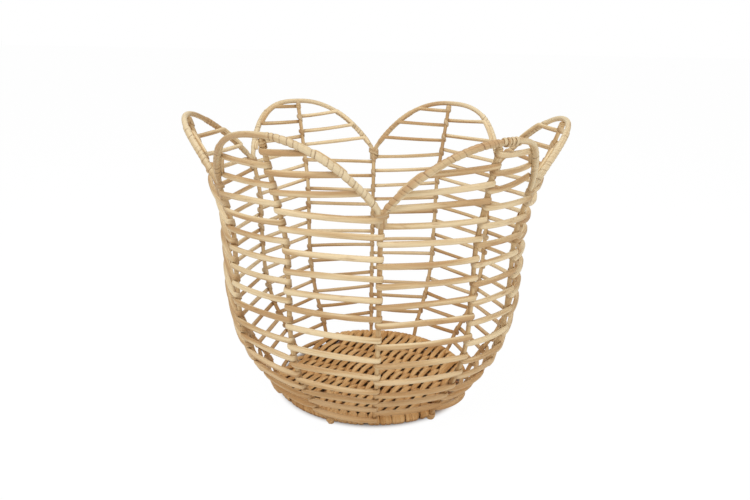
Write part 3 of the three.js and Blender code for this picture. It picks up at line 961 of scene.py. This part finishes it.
@dataclass
class Rims:
    """The six arched rims, each a bent rod that is bound with split cane over part of its length."""

    wall: Wall
    rod_radius: float = 2.75
    bound_radius: float = 3.4
    end_radius: float = 2.3
    end_slim: float = 22.0
    end_gap: float = 2.5
    end_drop: float = 10.5
    end_out: float = 1.8
    end_run: float = 16.0
    # Painted shade at the rim's ends, where they meet the valley stake
    end_shade: float = 0.68
    end_shade_run: float = 19.0
    step: float = 0.8
    sides: int = 18
    powers: tuple[Pair, ...] = (
        (2.2, 2.2), (2.6, 2.2), (2.2, 2.8), (2.0, 2.2), (2.6, 2.0), (2.0, 5.0)
    )
    bound: tuple[tuple[Pair, ...], ...] = (
        ((-0.93, -0.42), (0.40, 0.93)),
        ((-0.92, -0.52), (0.50, 0.92)),
        ((-0.92, -0.50), (0.52, 0.92)),
        ((-0.93, -0.40), (0.42, 0.93)),
        ((-0.94, -0.60), (0.05, 0.94)),
        ((-0.96, -0.02), (0.62, 0.94)),
    )
    lap_in: float = 0.012
    lap_out: float = 0.03
    binding_pitch: float = 5.2
    pattern_shift: float = 1.7
    crown: float = 0.5
    seams: int = 400
    seam_depth: float = 0.42
    seam_depths: Pair = (0.6, 1.15)
    depth_power: float = 1.3
    groove_power: float = 1.5
    seam_stray: float = 0.45
    seam_run: float = 1.6
    seed: int = 70
    coiled_petal: int = 5
    coil: Pair = (0.03, 0.3)
    coil_pitch: float = 5.0
    coil_strand: float = 1.5
    coil_reach: float = 0.75
    coil_press: float = 0.45
    coil_steps: int = 20
    coil_sides: int = 10
    half_post: float = 0.02

    def _valley_top(self, petal: int, side: float) -> float:
        """Height of the valley on one side of a petal."""
        return self.wall.valley_top(petal - 1 if side < 0 else petal)

    def power(self, petal: int, side: float) -> float:
        """How full the shoulder of an arch is: 2 is a parabola, and more is rounder."""
        return self.powers[petal % PETALS][0 if side < 0 else 1]

    def share_at(self, petal: int, height: float, side: int) -> float:
        """Share of the way from the petal's tip to its valley at which the rim passes a height."""
        drop = self.wall.tip - self._valley_top(petal, side)
        return side * max((self.wall.tip - height) / drop, 0.0) ** (1 / self.power(petal, side))

    def bearing(self, petal: int, share: float) -> float:
        """Bearing of the rim in radians, at a share of the way from its petal to a valley."""
        middle, end = (self.wall.bearing(2 * petal + step) for step in (0, 1 if share >= 0 else -1))
        return middle + (end - middle) * abs(share)

    def at(self, petal: int, share: float) -> Vector:
        """Point of a rim.

        Args:
            petal: number of the petal.
            share: share of the way to the valley, from -1 to 1.

        Returns:
            The point of its middle line.
        """
        fall = abs(share) ** self.power(petal, share)
        height = self.wall.tip - (self.wall.tip - self._valley_top(petal, share)) * fall
        return self.wall.point(self.bearing(petal, share), height, petal, 1 - fall)

    def end_share(self, petal: int, side: int) -> float:
        """Share at which the rim comes beside the valley stake."""
        turn = abs(self.wall.bearing(2 * petal + side) - self.wall.bearing(2 * petal))
        return side * (1 - self.end_gap / (turn * self.wall.radius(self.wall.valley)))

    def _foot(self, petal: int, side: int) -> Vector:
        """Foot of a rim, beside its valley stake."""
        bearing = self.bearing(petal, self.end_share(petal, side))
        return self.wall.point(bearing, self._valley_top(petal, side) - self.end_drop, petal, 0.0)

    def post(self, petal: int, share: float) -> Post:
        """The stretch of a rim that a row ends on, at a share of the way to the valley."""
        way = self.at(petal, share + self.half_post) - self.at(petal, share - self.half_post)
        return self.wall.post(self.at(petal, share), way, self.rod_radius)

    def line(self, petal: int) -> tuple[list[Spot], list[float]]:
        """Spots of a rim's middle line and the share at each.

        Args:
            petal: number of the petal.

        Returns:
            The spots in even steps, and their shares, beyond 1 on the upright ends.
        """
        low, high = self.end_share(petal, -1), self.end_share(petal, 1)
        route = Route()
        route.add(self._foot(petal, -1))
        for share in ramp(low, high - low, steps=90):
            route.add(self.at(petal, share))
        route.add(self._foot(petal, 1))
        spots = route.even(self.step, ease=8)
        middle = self.wall.bearing(2 * petal)
        shares = []
        for place, spot in enumerate(spots):
            edge = self.step * min(place, len(spots) - 1 - place)
            spot.at += self.wall.outward(spot.at) * (self.end_out * (1 - smooth(edge / self.end_run)))
            bearing = math.atan2(spot.at.y, spot.at.x)
            turn = (bearing - middle + math.pi) % (2 * math.pi) - math.pi
            side = 1 if turn >= 0 else -1
            shares.append(turn / abs(self.wall.bearing(2 * petal + side) - middle))
        return spots, shares

    def _cover(self, petal: int, share: float) -> float:
        """How fully the binding covers the rod at a share, from 0 to 1."""
        return max(
            min(smooth((share - low) / self.lap_in + 0.5), smooth((high - share) / self.lap_out + 0.5))
            for low, high in self.bound[petal]
        )

    def _bound_skin(self, petal: int, rng: Random) -> Skin:
        """Sweeps a rod whose skin rises and falls with the turns of its binding.

        Args:
            petal: number of the petal.
            rng: source of the seams' strays.

        Returns:
            The rim's skin.
        """
        spots, shares = self.line(petal)
        skin = Skin(petal * self.pattern_shift)
        depths = [rng.uniform(*self.seam_depths) ** self.depth_power for _ in range(self.seams)]
        strays = [rng.uniform(-self.seam_stray, self.seam_stray) / 2 for _ in range(self.seams)]
        total = len(spots) * self.step
        for share, (spot, _, wide, deep, length) in zip(shares, framed(spots)):
            cover = self._cover(petal, share)
            edge = min(length, total - length)
            rod = self.end_radius + (self.rod_radius - self.end_radius) * smooth(edge / self.end_slim)
            dark = self.end_shade * (1 - smooth(edge / self.end_shade_run))
            ring, shades = [], []
            for side in range(self.sides):
                angle = 2 * math.pi * side / self.sides
                turn = length / self.binding_pitch - side / self.sides
                seam = round(turn)
                off = abs(turn - seam - strays[seam % self.seams]) * self.binding_pitch
                groove = max(1 - off / self.seam_run, 0.0) ** self.groove_power
                groove *= depths[seam % self.seams]
                part = (turn - math.floor(turn)) - 0.5
                bound = self.bound_radius - self.seam_depth * groove - self.crown * part * part
                reach = rod + (bound - rod) * cover
                across = wide * (reach * math.cos(angle))
                ring.append(spot.at + across + deep * (reach * math.sin(angle)))
                # Painted shade in the seams' grooves and at the rim's ends
                shades.append(max(min(groove, 1.0) * cover, dark))
            skin.rings.append((ring, length, shades))
        return skin

    def _coil(self, petal: int) -> list[Spot]:
        """Path of the open coils of split cane beside a petal's stake.

        Args:
            petal: number of the petal.

        Returns:
            The spots of the coils.
        """
        start, end = self.coil
        turns = (self.at(petal, end) - self.at(petal, start)).length / self.coil_pitch
        steps = int(turns * self.coil_steps)
        route = Route()
        for step, share in enumerate(ramp(start, end - start, steps)):
            post = self.post(petal, share)
            away = post.away(2 * math.pi * turns * step / steps)
            reach = self.rod_radius + self.coil_reach
            route.add(post.centre + away * reach, press=away * self.coil_press)
        return route.even(step=1.0, ease=1)

    def build(self, bench: Bench, finish: Material) -> None:
        """Makes the rims.

        Args:
            bench: where the pieces are made.
            finish: their material.
        """
        for petal in range(PETALS):
            rng = Random(self.seed + petal)
            skins = [self._bound_skin(petal, rng)]
            if petal == self.coiled_petal:
                cut = Cut(self.coil_strand, sides=self.coil_sides)
                skins.append(cut.skin(self._coil(petal), rng))
            name = f"petal_rim_{petal + 1}"
            bench.piece(f"dressed_{name}", skins, finish, "rim_cane", name)


@dataclass
class Weave:
    """The wall's strands and the rows of the petals."""

    wall: Wall
    stakes: Stakes
    rims: Rims
    strand: float = 2.5
    fuller: float = 0.13
    step: float = 1.1
    ease: int = 3
    thin: float = 3.2
    fall: float = 6.4
    fall_strays: Pair = (-0.5, 0.6)
    height_stray: float = 0.6
    lead: float = 0.55
    last_leave: float = 250.0
    bow: float = 2.2
    bow_stray: float = 0.8
    sags: Pair = (-0.4, 1.1)
    start_bow: float = 0.3
    petal_bow: float = 0.8
    tuck: float = 0.8
    tuck_drop: float = 0.8
    tuck_press: float = 0.25
    rim_started: int = 2
    rim_start: Pair = (-0.93, -0.87)
    # The start is a strand's end at the joint, from the stake to where its petal's row begins
    start_from: float = -1.0
    hidden_start: float = 3.4
    start_reach: float = 7.4
    start_fall: float = 0.6
    start_rise: float = 3.0
    start_press: float = 0.4
    start_depths: Numbers = (3.2, 3.2, 3.2, 3.2, 3.2, -2.6)
    start_drops: Numbers = (0.0, 0.0, 0.0, 0.0, 9.0, -2.0)
    joint_front: float = 0.3
    row_turns: tuple[Pair, ...] = ((120.0, 8.0), (-10.0, 10.0), (-10.0, 10.0))
    top_end_rises: Pair = (0.5, 1.0)
    row_end_rises: tuple[Pair, ...] = (
        (1.0, -1.0), (2.5, 0.5), (5.0, 7.0), (1.0, -1.0), (-2.0, -4.0), (-4.0, -6.0)
    )
    row_end_fall: float = 0.72
    last_drop: float = 1.0
    last_run: float = 0.06
    last_share: float = 0.93
    # Each tilt gives a stake, a level and the rises of the turn's first and last spot
    tilts: tuple[tuple[int, float, float, float], ...] = (
        (8, 2.0, 0.0, -3.2),
        (8, 3.0, 0.0, -3.2),
        (8, 4.0, 0.0, -3.2),
        (9, 0.5, 0.0, 1.7),
        (9, 1.5, 2.2, 2.0),
    )
    wall_seed: int = 200
    petal_seed: int = 300
    skin_seeds: tuple[int, int] = (10, 20)

    def _post(self, index: int, level: float, rng: Random) -> Post:
        """A stake's post at a level, with its stray."""
        length = self.wall.level(level, index) + rng.uniform(-self.height_stray, self.height_stray)
        return self.stakes.post(index % STAKES, length)

    def _lead(self, start: Post, end: Post, post: Post) -> float:
        """Degrees by which a turn on a post goes with the way from one post to another."""
        reach = end.centre - start.centre
        return self.lead * math.degrees(math.atan2(reach.dot(post.out), reach.dot(post.along)))

    def _bowed(self, out: Vector, rng: Random) -> Vector:
        """Bow of a span between two stakes."""
        bow = out * (self.bow + rng.uniform(-self.bow_stray, self.bow_stray))
        return bow - UP * rng.uniform(*self.sags)

    def _follow(self, route: Route, petal: int, start: float, end: float) -> None:
        """Runs along the inner side of a rim.

        Args:
            route: the path so far.
            petal: number of the petal.
            start: share of the rim at which the run begins.
            end: share at which it ends.
        """
        for share in ramp(start, end - start, steps=8):
            post = self.rims.post(petal, share)
            route.add(self._tucked(post), press=post.out * self.tuck_press)

    def _tucked(self, post: Post) -> Vector:
        """Point where a strand lies against the inner side of a rim."""
        reach = post.radius + self.strand * self.tuck
        return post.centre - post.out * reach - UP * self.tuck_drop

    def _start(self, route: Route, petal: int) -> Post:
        """Lays a strand's start along its rim or across the joint at its petal's clockwise valley.

        Args:
            route: the empty path.
            petal: number of the petal.

        Returns:
            What the start lies on.
        """
        if petal == self.rim_started:
            self._follow(route, petal, *self.rim_start)
            return self.rims.post(petal, self.rim_start[1])
        valley = (petal - 1) % PETALS
        post = self.stakes.post(2 * valley + 1, self.wall.length_at(self.wall.valley_top(valley)))
        depth = self.start_depths[petal]
        first = self.hidden_start if depth < 0 else self.start_from
        for share in ramp(0.0, 1.0, steps=6):
            at = post.centre + post.along * (first + (self.start_reach - first) * share)
            at += post.out * (depth * (0.5 + 0.5 * share) if depth > 0 else depth)
            at += post.axis * (self.start_rise * share - self.start_fall - self.start_drops[petal])
            route.add(at, press=post.out * self.start_press)
        return post

    def _tilt(self, turn: Sequence[Spot], post: Post, stake: int, level: float) -> None:
        """Raises or lowers a turn's two ends, where the real one lies so.

        Args:
            turn: the spots of the turn.
            post: what it is wound on.
            stake: number of the stake.
            level: level of the row.
        """
        for tilted, at_level, first, last in self.tilts:
            if (tilted, at_level) == (stake, level):
                for spot, rise in zip(turn, ramp(first, last - first, len(turn) - 1)):
                    spot.at += post.axis * rise

    def wall_strand(self, petal: int) -> list[Spot]:
        """Path of a wall strand, from the joint at its petal's clockwise side to the base.

        Args:
            petal: number of the petal that it starts in.

        Returns:
            The strand's spots.
        """
        rng = Random(self.wall_seed + petal)
        route = Route()
        previous = self._start(route, petal)
        turns = 2 * self.wall.form.rows
        posts = [self._post(2 * petal + step, step / 2, rng) for step in range(turns)]
        for index, post in enumerate(posts):
            enter, leave = -self._lead(previous, post, post), self.last_leave
            if index < turns - 1:
                leave = FULL_TURN - self._lead(post, posts[index + 1], post)
            fall = self.fall + rng.uniform(*self.fall_strays)
            joint = Winding(self.strand, front=self.joint_front)
            turn = (joint if index == 1 else Winding(self.strand)).turn(post, enter, leave, fall)
            self._tilt(turn, post, (2 * petal + index) % STAKES, index / 2)
            bow = self._bowed(post.out, rng)
            route.span(turn[0].at, bow if index else bow * self.start_bow)
            route.join(turn)
            previous = post
        return route.even(self.step, self.ease, self.thin)

    def petal_strand(self, petal: int) -> list[Spot]:
        """Path of a petal strand, to and fro between the two sides of the rim.

        Args:
            petal: number of the petal.

        Returns:
            The strand's spots.
        """
        rng = Random(self.petal_seed + petal)
        share = self.rims.share_at
        posts = [self._post(2 * petal, level, rng) for level in (-3.0, -2.0, -1.0)]
        turns = [
            Winding(self.strand).turn(post, start, FULL_TURN + past, self.fall)
            for post, (start, past) in zip(posts, self.row_turns)
        ]
        turns[1].reverse()
        route = Route()
        ends = ((1, self.top_end_rises), (-1, self.row_end_rises[petal]))
        for place, (side, rises) in enumerate(ends):
            near, far = turns[place][-1].at.z + rises[0], turns[place + 1][0].at.z + rises[1]
            route.join(turns[place])
            shares = (share(petal, near, side), share(petal, far, side))
            self._reach(route, petal, shares, posts[place].out, rng)
            bow = self._bowed(posts[place + 1].out, rng) * self.petal_bow
            route.span(turns[place + 1][0].at, bow)
        route.join(turns[2])
        drop = self.wall.tip - self.wall.valley_top(petal)
        lowest = self.wall.tip - drop * self.row_end_fall
        last = share(petal, max(turns[2][-1].at.z - self.last_drop, lowest), 1)
        shares = (last, min(last + self.last_run, self.last_share))
        self._reach(route, petal, shares, posts[2].out, rng)
        return route.even(self.step, self.ease, self.thin)

    def _reach(self, route: Route, petal: int, shares: Pair, out: Vector, rng: Random) -> None:
        """Crosses half a petal to the rim and runs down behind it.

        Args:
            route: the path so far.
            petal: number of the petal.
            shares: shares of the rim at which the strand meets it and leaves it.
            out: outward direction at the stake.
            rng: source of its stray.
        """
        met = self._tucked(self.rims.post(petal, shares[0]))
        route.span(met, self._bowed(out, rng) * self.petal_bow)
        self._follow(route, petal, *shares)

    def build(self, bench: Bench, finish: Material) -> None:
        """Makes the wall strands and the petal strands.

        Args:
            bench: where the pieces are made.
            finish: their material.
        """
        cut = Cut(self.strand, fuller=self.fuller)
        for petal in range(PETALS):
            number = petal + 1
            wall_rng, rows_rng = (Random(seed + petal) for seed in self.skin_seeds)
            wall = [cut.skin(self.wall_strand(petal), wall_rng)]
            rows = [cut.skin(self.petal_strand(petal), rows_rng)]
            parts = [f"petal_row_{place}_{number}" for place in ("top", "upper", "lower")]
            name = f"wall_weaver_{number}"
            bench.piece(f"dressed_wall_strand_{number}", wall, finish, "strand_cane", name)
            bench.piece(f"dressed_petal_strand_{number}", rows, finish, "strand_cane", *parts)


@dataclass
class Lashings:
    """The ties that bind two rim ends to each valley stake."""

    wall: Wall
    stakes: Stakes
    strand: float = 1.3
    rise: float = -1.0
    pitch: float = 2.7
    turns: float = 2.25
    steps: int = 24
    start: float = 200.0
    slant: float = 1.6
    across: float = 6.1
    deep: float = 3.2
    press: float = 0.55
    corner: float = 0.8
    seed: int = 30

    def _flat(self, value: float) -> float:
        """A sine or cosine with its rounds pressed towards a square."""
        return math.copysign(abs(value) ** self.corner, value)

    def line(self, valley: int) -> list[Spot]:
        """Path of a tie.

        Args:
            valley: number of the valley.

        Returns:
            The tie's spots.
        """
        length = self.wall.length_at(self.wall.valley_top(valley) + self.rise)
        post = self.stakes.post(2 * valley + 1, length)
        route = Route()
        for step in range(int(self.turns * self.steps) + 1):
            share = step / self.steps
            angle = math.radians(self.start + FULL_TURN * share)
            level = self.pitch * (self.turns / 2 - share) + self.slant * math.sin(angle)
            out, along = self._flat(math.cos(angle)), self._flat(math.sin(angle))
            away = (post.out * out + post.along * along).normalized()
            at = post.centre + post.out * (self.deep * out) + post.along * (self.across * along)
            route.add(at + post.axis * level, press=away * self.press)
        return route.even(step=1.1, ease=2)

    def build(self, bench: Bench, finish: Material) -> None:
        """Makes the ties.

        Args:
            bench: where the pieces are made.
            finish: their material.
        """
        for valley in range(PETALS):
            number = valley + 1
            skin = Cut(self.strand).skin(self.line(valley), Random(self.seed + valley))
            name = f"valley_lashing_{number}"
            bench.piece(f"dressed_valley_tie_{number}", [skin], finish, "rim_cane", name)


@dataclass
class Base:
    """The woven base: a hoop, cross rods and strands that turn round the hoop."""

    wall: Wall
    strand: float = 2.55
    widening: float = 0.8
    rod_radius: float = 1.6
    rods: int = 7
    rod_edge: float = 24.0
    passes: int = 38
    pass_edge: float = 15.0
    weavers: int = 4
    heading: float = 60.0
    mat_height: float = 7.3
    rod_wave: float = 3.1
    hoop_wave: float = 4.7
    crest_press: float = 0.42
    pass_stray: float = 0.35
    end_run: float = 6.5
    end_rise: float = 0.6
    least_run: float = 9.0
    hoop_run: float = 22.0
    turn_out: float = 5.1
    turn_up: float = 4.7
    turn_press: float = 0.4
    edge_press: float = 0.32
    turn_start: float = -10.0
    turn_sweep: float = 560.0
    turn_steps: int = 36
    extra_steps: int = 24
    turn_lead: float = 0.18
    last_turn: float = 0.8
    wide_arc: float = 6.3
    # Rises above the mat below which the strands and the rods get painted shade
    strand_shade_rise: float = 3.7
    rod_shade_rise: float = 5.0
    line_seed: int = 400
    rod_seed: int = 80
    strand_seed: int = 90

    def __post_init__(self) -> None:
        """Sets the radius of the hoop and the directions of the passes and of the rods."""
        angle = math.radians(self.heading)
        self.hoop = self.wall.form.hoop_radius
        self.passing = Vector((math.cos(angle), math.sin(angle), 0.0))
        self.crossing = Vector((self.passing.y, -self.passing.x, 0.0))

    def _place(self, number: int, count: int, edge: float) -> float:
        """Place of one of several even lines, the outer ones an edge inside the hoop."""
        pitch = 2 * (self.hoop - edge) / (count - 1)
        return (number - (count - 1) / 2) * pitch

    def _hoop_line(self) -> list[Spot]:
        """Path of the hoop, one bent cane.

        Returns:
            The hoop's spots, from +X and round to +X again.
        """
        route = Route()
        for angle in ramp(0.0, 2 * math.pi, steps=240):
            x, y = math.cos(angle) * self.hoop, math.sin(angle) * self.hoop
            route.add(Vector((x, y, self.mat_height)))
        return route.even(step=2.5, ease=0)

    def _rod_line(self, rod: int) -> list[Spot]:
        """Spots of a rod.

        Args:
            rod: number of the rod.

        Returns:
            Its spots, from the hoop's inner side to the inner side across.
        """
        offset = self._place(rod, self.rods, self.rod_edge)
        inner = self.hoop - self.wall.form.hoop_rod
        half = math.sqrt(inner**2 - (abs(offset) + self.rod_radius) ** 2)
        route = Route()
        for reach in (-half, half):
            route.add(self.crossing * reach + self.passing * offset + UP * self.mat_height)
        return route.even(step=2.5, ease=0)

    def _turn(self, route: Route, way: int, start: float, end: float, part: float) -> None:
        """Winds one and a half times round the hoop, and once more where there is room for it.

        Args:
            route: the strand's path so far.
            way: side of the hoop, 1 where the passes head.
            start: place across the base of the pass that ends.
            end: place across the base of the pass that begins.
            part: share of the winding that is made.
        """
        arc = self.hoop * abs(math.asin(end / self.hoop) - math.asin(start / self.hoop))
        extra = 1 if arc > self.wide_arc else 0
        steps = self.turn_steps + self.extra_steps * extra
        sweep = self.turn_sweep + FULL_TURN * extra
        for step in range(1, round(steps * part)):
            share = step / steps
            across = min(max((share - self.turn_lead) / (1 - 2 * self.turn_lead), 0.0), 1.0)
            offset = start + (end - start) * across
            half = math.sqrt(self.hoop**2 - offset**2)
            hoop = self.passing * (way * half) + self.crossing * offset
            out = hoop.normalized()
            angle = math.radians(self.turn_start + sweep * share)
            sine, cosine = math.sin(angle), math.cos(angle)
            away = out * (sine * self.turn_out) + UP * (cosine * self.turn_up)
            press = out * (sine * self.turn_press) + UP * (cosine * self.edge_press)
            route.add(hoop + UP * self.mat_height + away, press=press)

    def _pass(self, route: Route, number: int, is_last: bool, rng: Random) -> None:
        """Adds one pass, from its rise inside the hoop to its turn over the far side.

        Args:
            route: the strand's path so far.
            number: number of the pass.
            is_last: true for its last.
            rng: source of its stray.
        """
        way = 1 if number % 2 == 0 else -1
        offset = self._place(number, self.passes, self.pass_edge)
        half = math.sqrt(self.hoop**2 - offset**2)
        side = self.crossing * offset
        stray = rng.uniform(-self.pass_stray, self.pass_stray)
        low = self.mat_height - self.hoop_wave + self.end_rise
        high = self.mat_height + self.hoop_wave - self.end_rise
        runs = [(self.end_run - half, low)]
        for rod in range(self.rods)[::way]:
            run = self._place(rod, self.rods, self.rod_edge) * way
            if abs(run) > half - self.least_run:
                continue
            level = 1 if (number + rod) % 2 == 0 else -1
            if half - abs(run) < self.hoop_run:
                level = -1 if run < 0 else 1
            runs.append((run, self.mat_height + level * self.rod_wave))
        runs.append((half - self.end_run, high))
        for (run, height), (next_run, next_height) in zip(runs, runs[1:]):
            for share in ramp(0.0, 1.0, steps=5)[:-1]:
                place = run + (next_run - run) * share
                level = height + (next_height - height) * smooth(smooth(share))
                crest = max((level - self.mat_height) / self.rod_wave, 0.0)
                at = self.passing * (way * place) + side + self.crossing * stray + UP * level
                route.add(at, press=UP * (self.crest_press * min(crest, 1.0)))
        route.add(self.passing * (way * runs[-1][0]) + side + UP * runs[-1][1])
        following = self._place(number + 1, self.passes, self.pass_edge)
        self._turn(route, way, offset, following, self.last_turn if is_last else 1.0)

    def _strand_line(self, group: int) -> list[Spot]:
        """Path of a base strand, which goes to and fro over its share of the base.

        Args:
            group: number of the strand.

        Returns:
            The strand's spots.
        """
        rng = Random(self.line_seed + group)
        first, after = (round(self.passes * end / self.weavers) for end in (group, group + 1))
        route = Route()
        for number in range(first, after):
            self._pass(route, number, number == after - 1, rng)
        return route.even(step=1.5, ease=2, thin=3.2)

    def build(self, bench: Bench, rod: Material, strand: Material) -> None:
        """Makes the hoop, the rods and the strands.

        Args:
            bench: where the pieces are made.
            rod: material of the hoop.
            strand: material of the rods and the strands.
        """
        hoop = Cut(self.wall.form.hoop_rod).skin(self._hoop_line(), Random(self.rod_seed))
        bench.piece("dressed_base_hoop", [hoop], rod, "stake_cane", "base_hoop")
        # The rods and the strands get painted shade low on the mat
        cut = Cut(self.rod_radius, shade_below=self.mat_height + self.rod_shade_rise)
        for number in range(1, self.rods + 1):
            skin = cut.skin(self._rod_line(number - 1), Random(self.rod_seed + number))
            name = f"base_rod_{number}"
            bench.piece(f"dressed_{name}", [skin], strand, "stake_cane", name)
        shade_below = self.mat_height + self.strand_shade_rise
        cut = Cut(self.strand, widening=self.widening, shade_below=shade_below)
        for number in range(1, self.weavers + 1):
            skin = cut.skin(self._strand_line(number - 1), Random(self.strand_seed + number))
            name = f"base_weaver_{number}"
            bench.piece(f"dressed_base_strand_{number}", [skin], strand, "base_cane", name)


# Studio


class Lamp(Enum):
    """The studio's soft lamps: place, width and power."""

    KEY = ((-0.9, -1.3, 1.7), 1.3, 20.0)
    FILL = ((1.4, -0.9, 0.9), 1.4, 8.0)
    TOP = ((0.0, 0.3, 1.9), 1.5, 9.0)


@dataclass
class Studio:
    """White floor with a painted shadow under the base, soft light and the photograph's camera."""

    lens: float = 32.30
    sensor: float = 36.0
    eye: tuple[float, float, float] = (-14.81, -709.66, 374.53)
    heading: float = 88.687
    pitch: float = -17.126
    roll: float = 0.0194
    aim: tuple[float, float, float] = (0.0, 0.0, 0.13)
    world_light: float = 0.57
    floor_size: float = 60.0
    floor_roughness: float = 0.9
    floor_tone: Numbers = (0.86, 0.86, 0.86, 1.0)
    floor_glow: float = 1.012
    floor_seen: float = 0.96
    # Painted shadow: brown floor under the base, out to a radius
    under_shadow_tone: Numbers = (0.42, 0.29, 0.17, 1.0)
    under_shadow_edge: Pair = (0.1, 0.113)

    def build(self) -> None:
        """Makes the floor, the lamps, the world and the camera."""
        self._floor()
        self._world()
        for lamp in Lamp:
            place, width, power = lamp.value
            data = bpy.data.lights.new(lamp.name.lower(), "AREA")
            data.shape = "DISK"
            data.size = width
            data.energy = power
            obj = bpy.data.objects.new(lamp.name.lower(), data)
            obj.location = place
            way = Vector(self.aim) - obj.location
            obj.rotation_euler = way.to_track_quat("-Z", "Y").to_euler()
            bpy.context.scene.collection.objects.link(obj)
        self._camera()
        bpy.context.scene.view_settings.view_transform = "Standard"

    def _floor(self) -> None:
        """Makes the floor, white and with a faint shadow, and with a painted brown shadow under the base.
        """
        bpy.ops.object.select_all(action="DESELECT")
        bpy.ops.mesh.primitive_plane_add(size=self.floor_size, location=(0.0, 0.0, 0.0))
        floor = bpy.context.view_layer.objects.active
        floor.name = "studio_floor"
        material = bpy.data.materials.new("studio_floor")
        shader = Shader(material, "ShaderNodeOutputMaterial")
        place = shader.node("ShaderNodeTexCoord", {}, [], "Object")
        middle = shader.node("ShaderNodeVectorMath", {"operation": "LENGTH"}, [place], "Value")
        outside = middle.between(*self.under_shadow_edge)
        tone = shader.mix(outside, self.under_shadow_tone, self.floor_tone)
        inputs = {"Base Color": tone, "Roughness": self.floor_roughness}
        ground = shader.node("ShaderNodeBsdfPrincipled", {}, inputs)
        glow = shader.node("ShaderNodeEmission", {}, {"Strength": self.floor_glow})
        seen = shader.node("ShaderNodeLightPath", {}, [], "Is Camera Ray")
        share = seen * (self.floor_seen * outside)
        shader.finish(shader.node("ShaderNodeMixShader", {}, [share, ground, glow]))
        floor.data.materials.append(material)

    def _world(self) -> None:
        """Sets an even light all round, seen as white."""
        world = bpy.data.worlds.new("studio")
        bpy.context.scene.world = world
        shader = Shader(world, "ShaderNodeOutputWorld")
        light = {"Color": WHITE, "Strength": self.world_light}
        lit = shader.node("ShaderNodeBackground", {}, light)
        white = shader.node("ShaderNodeBackground", {}, {"Color": WHITE})
        seen = shader.node("ShaderNodeLightPath", {}, [], "Is Camera Ray")
        shader.finish(shader.node("ShaderNodeMixShader", {}, [seen, lit, white]))

    def _camera(self) -> None:
        """Sets the camera where the photograph was taken from."""
        data = bpy.data.cameras.new("camera")
        data.lens = self.lens
        data.sensor_width = self.sensor
        heading, pitch = math.radians(self.heading), math.radians(self.pitch)
        level = math.cos(pitch)
        ahead = Vector((math.cos(heading) * level, math.sin(heading) * level, math.sin(pitch)))
        right = ahead.cross(UP).normalized()
        matrix = Matrix((right, right.cross(ahead), -ahead)).transposed().to_4x4()
        matrix.translation = Vector(self.eye) * MM
        obj = bpy.data.objects.new("camera", data)
        obj.matrix_world = matrix @ Matrix.Rotation(self.roll, 4, "Z")
        bpy.context.scene.collection.objects.link(obj)
        bpy.context.scene.camera = obj


def main() -> None:
    """Loads the frame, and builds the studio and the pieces."""
    logging.basicConfig(level=logging.INFO, format="%(message)s")
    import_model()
    Studio().build()
    bench = Bench()
    wall = Wall(WallForm())
    stakes = Stakes(wall)
    rims = Rims(wall)
    strand, stake, binding, base = (cane.make() for cane in (STRAND, STAKE, BINDING, BASE))
    stakes.build(bench, stake)
    rims.build(bench, binding)
    Weave(wall, stakes, rims).build(bench, strand)
    Lashings(wall, stakes).build(bench, binding)
    Base(wall).build(bench, stake, base)
    LOG.info("%d pieces", bench.count)


if __name__ == "__main__":
    main()
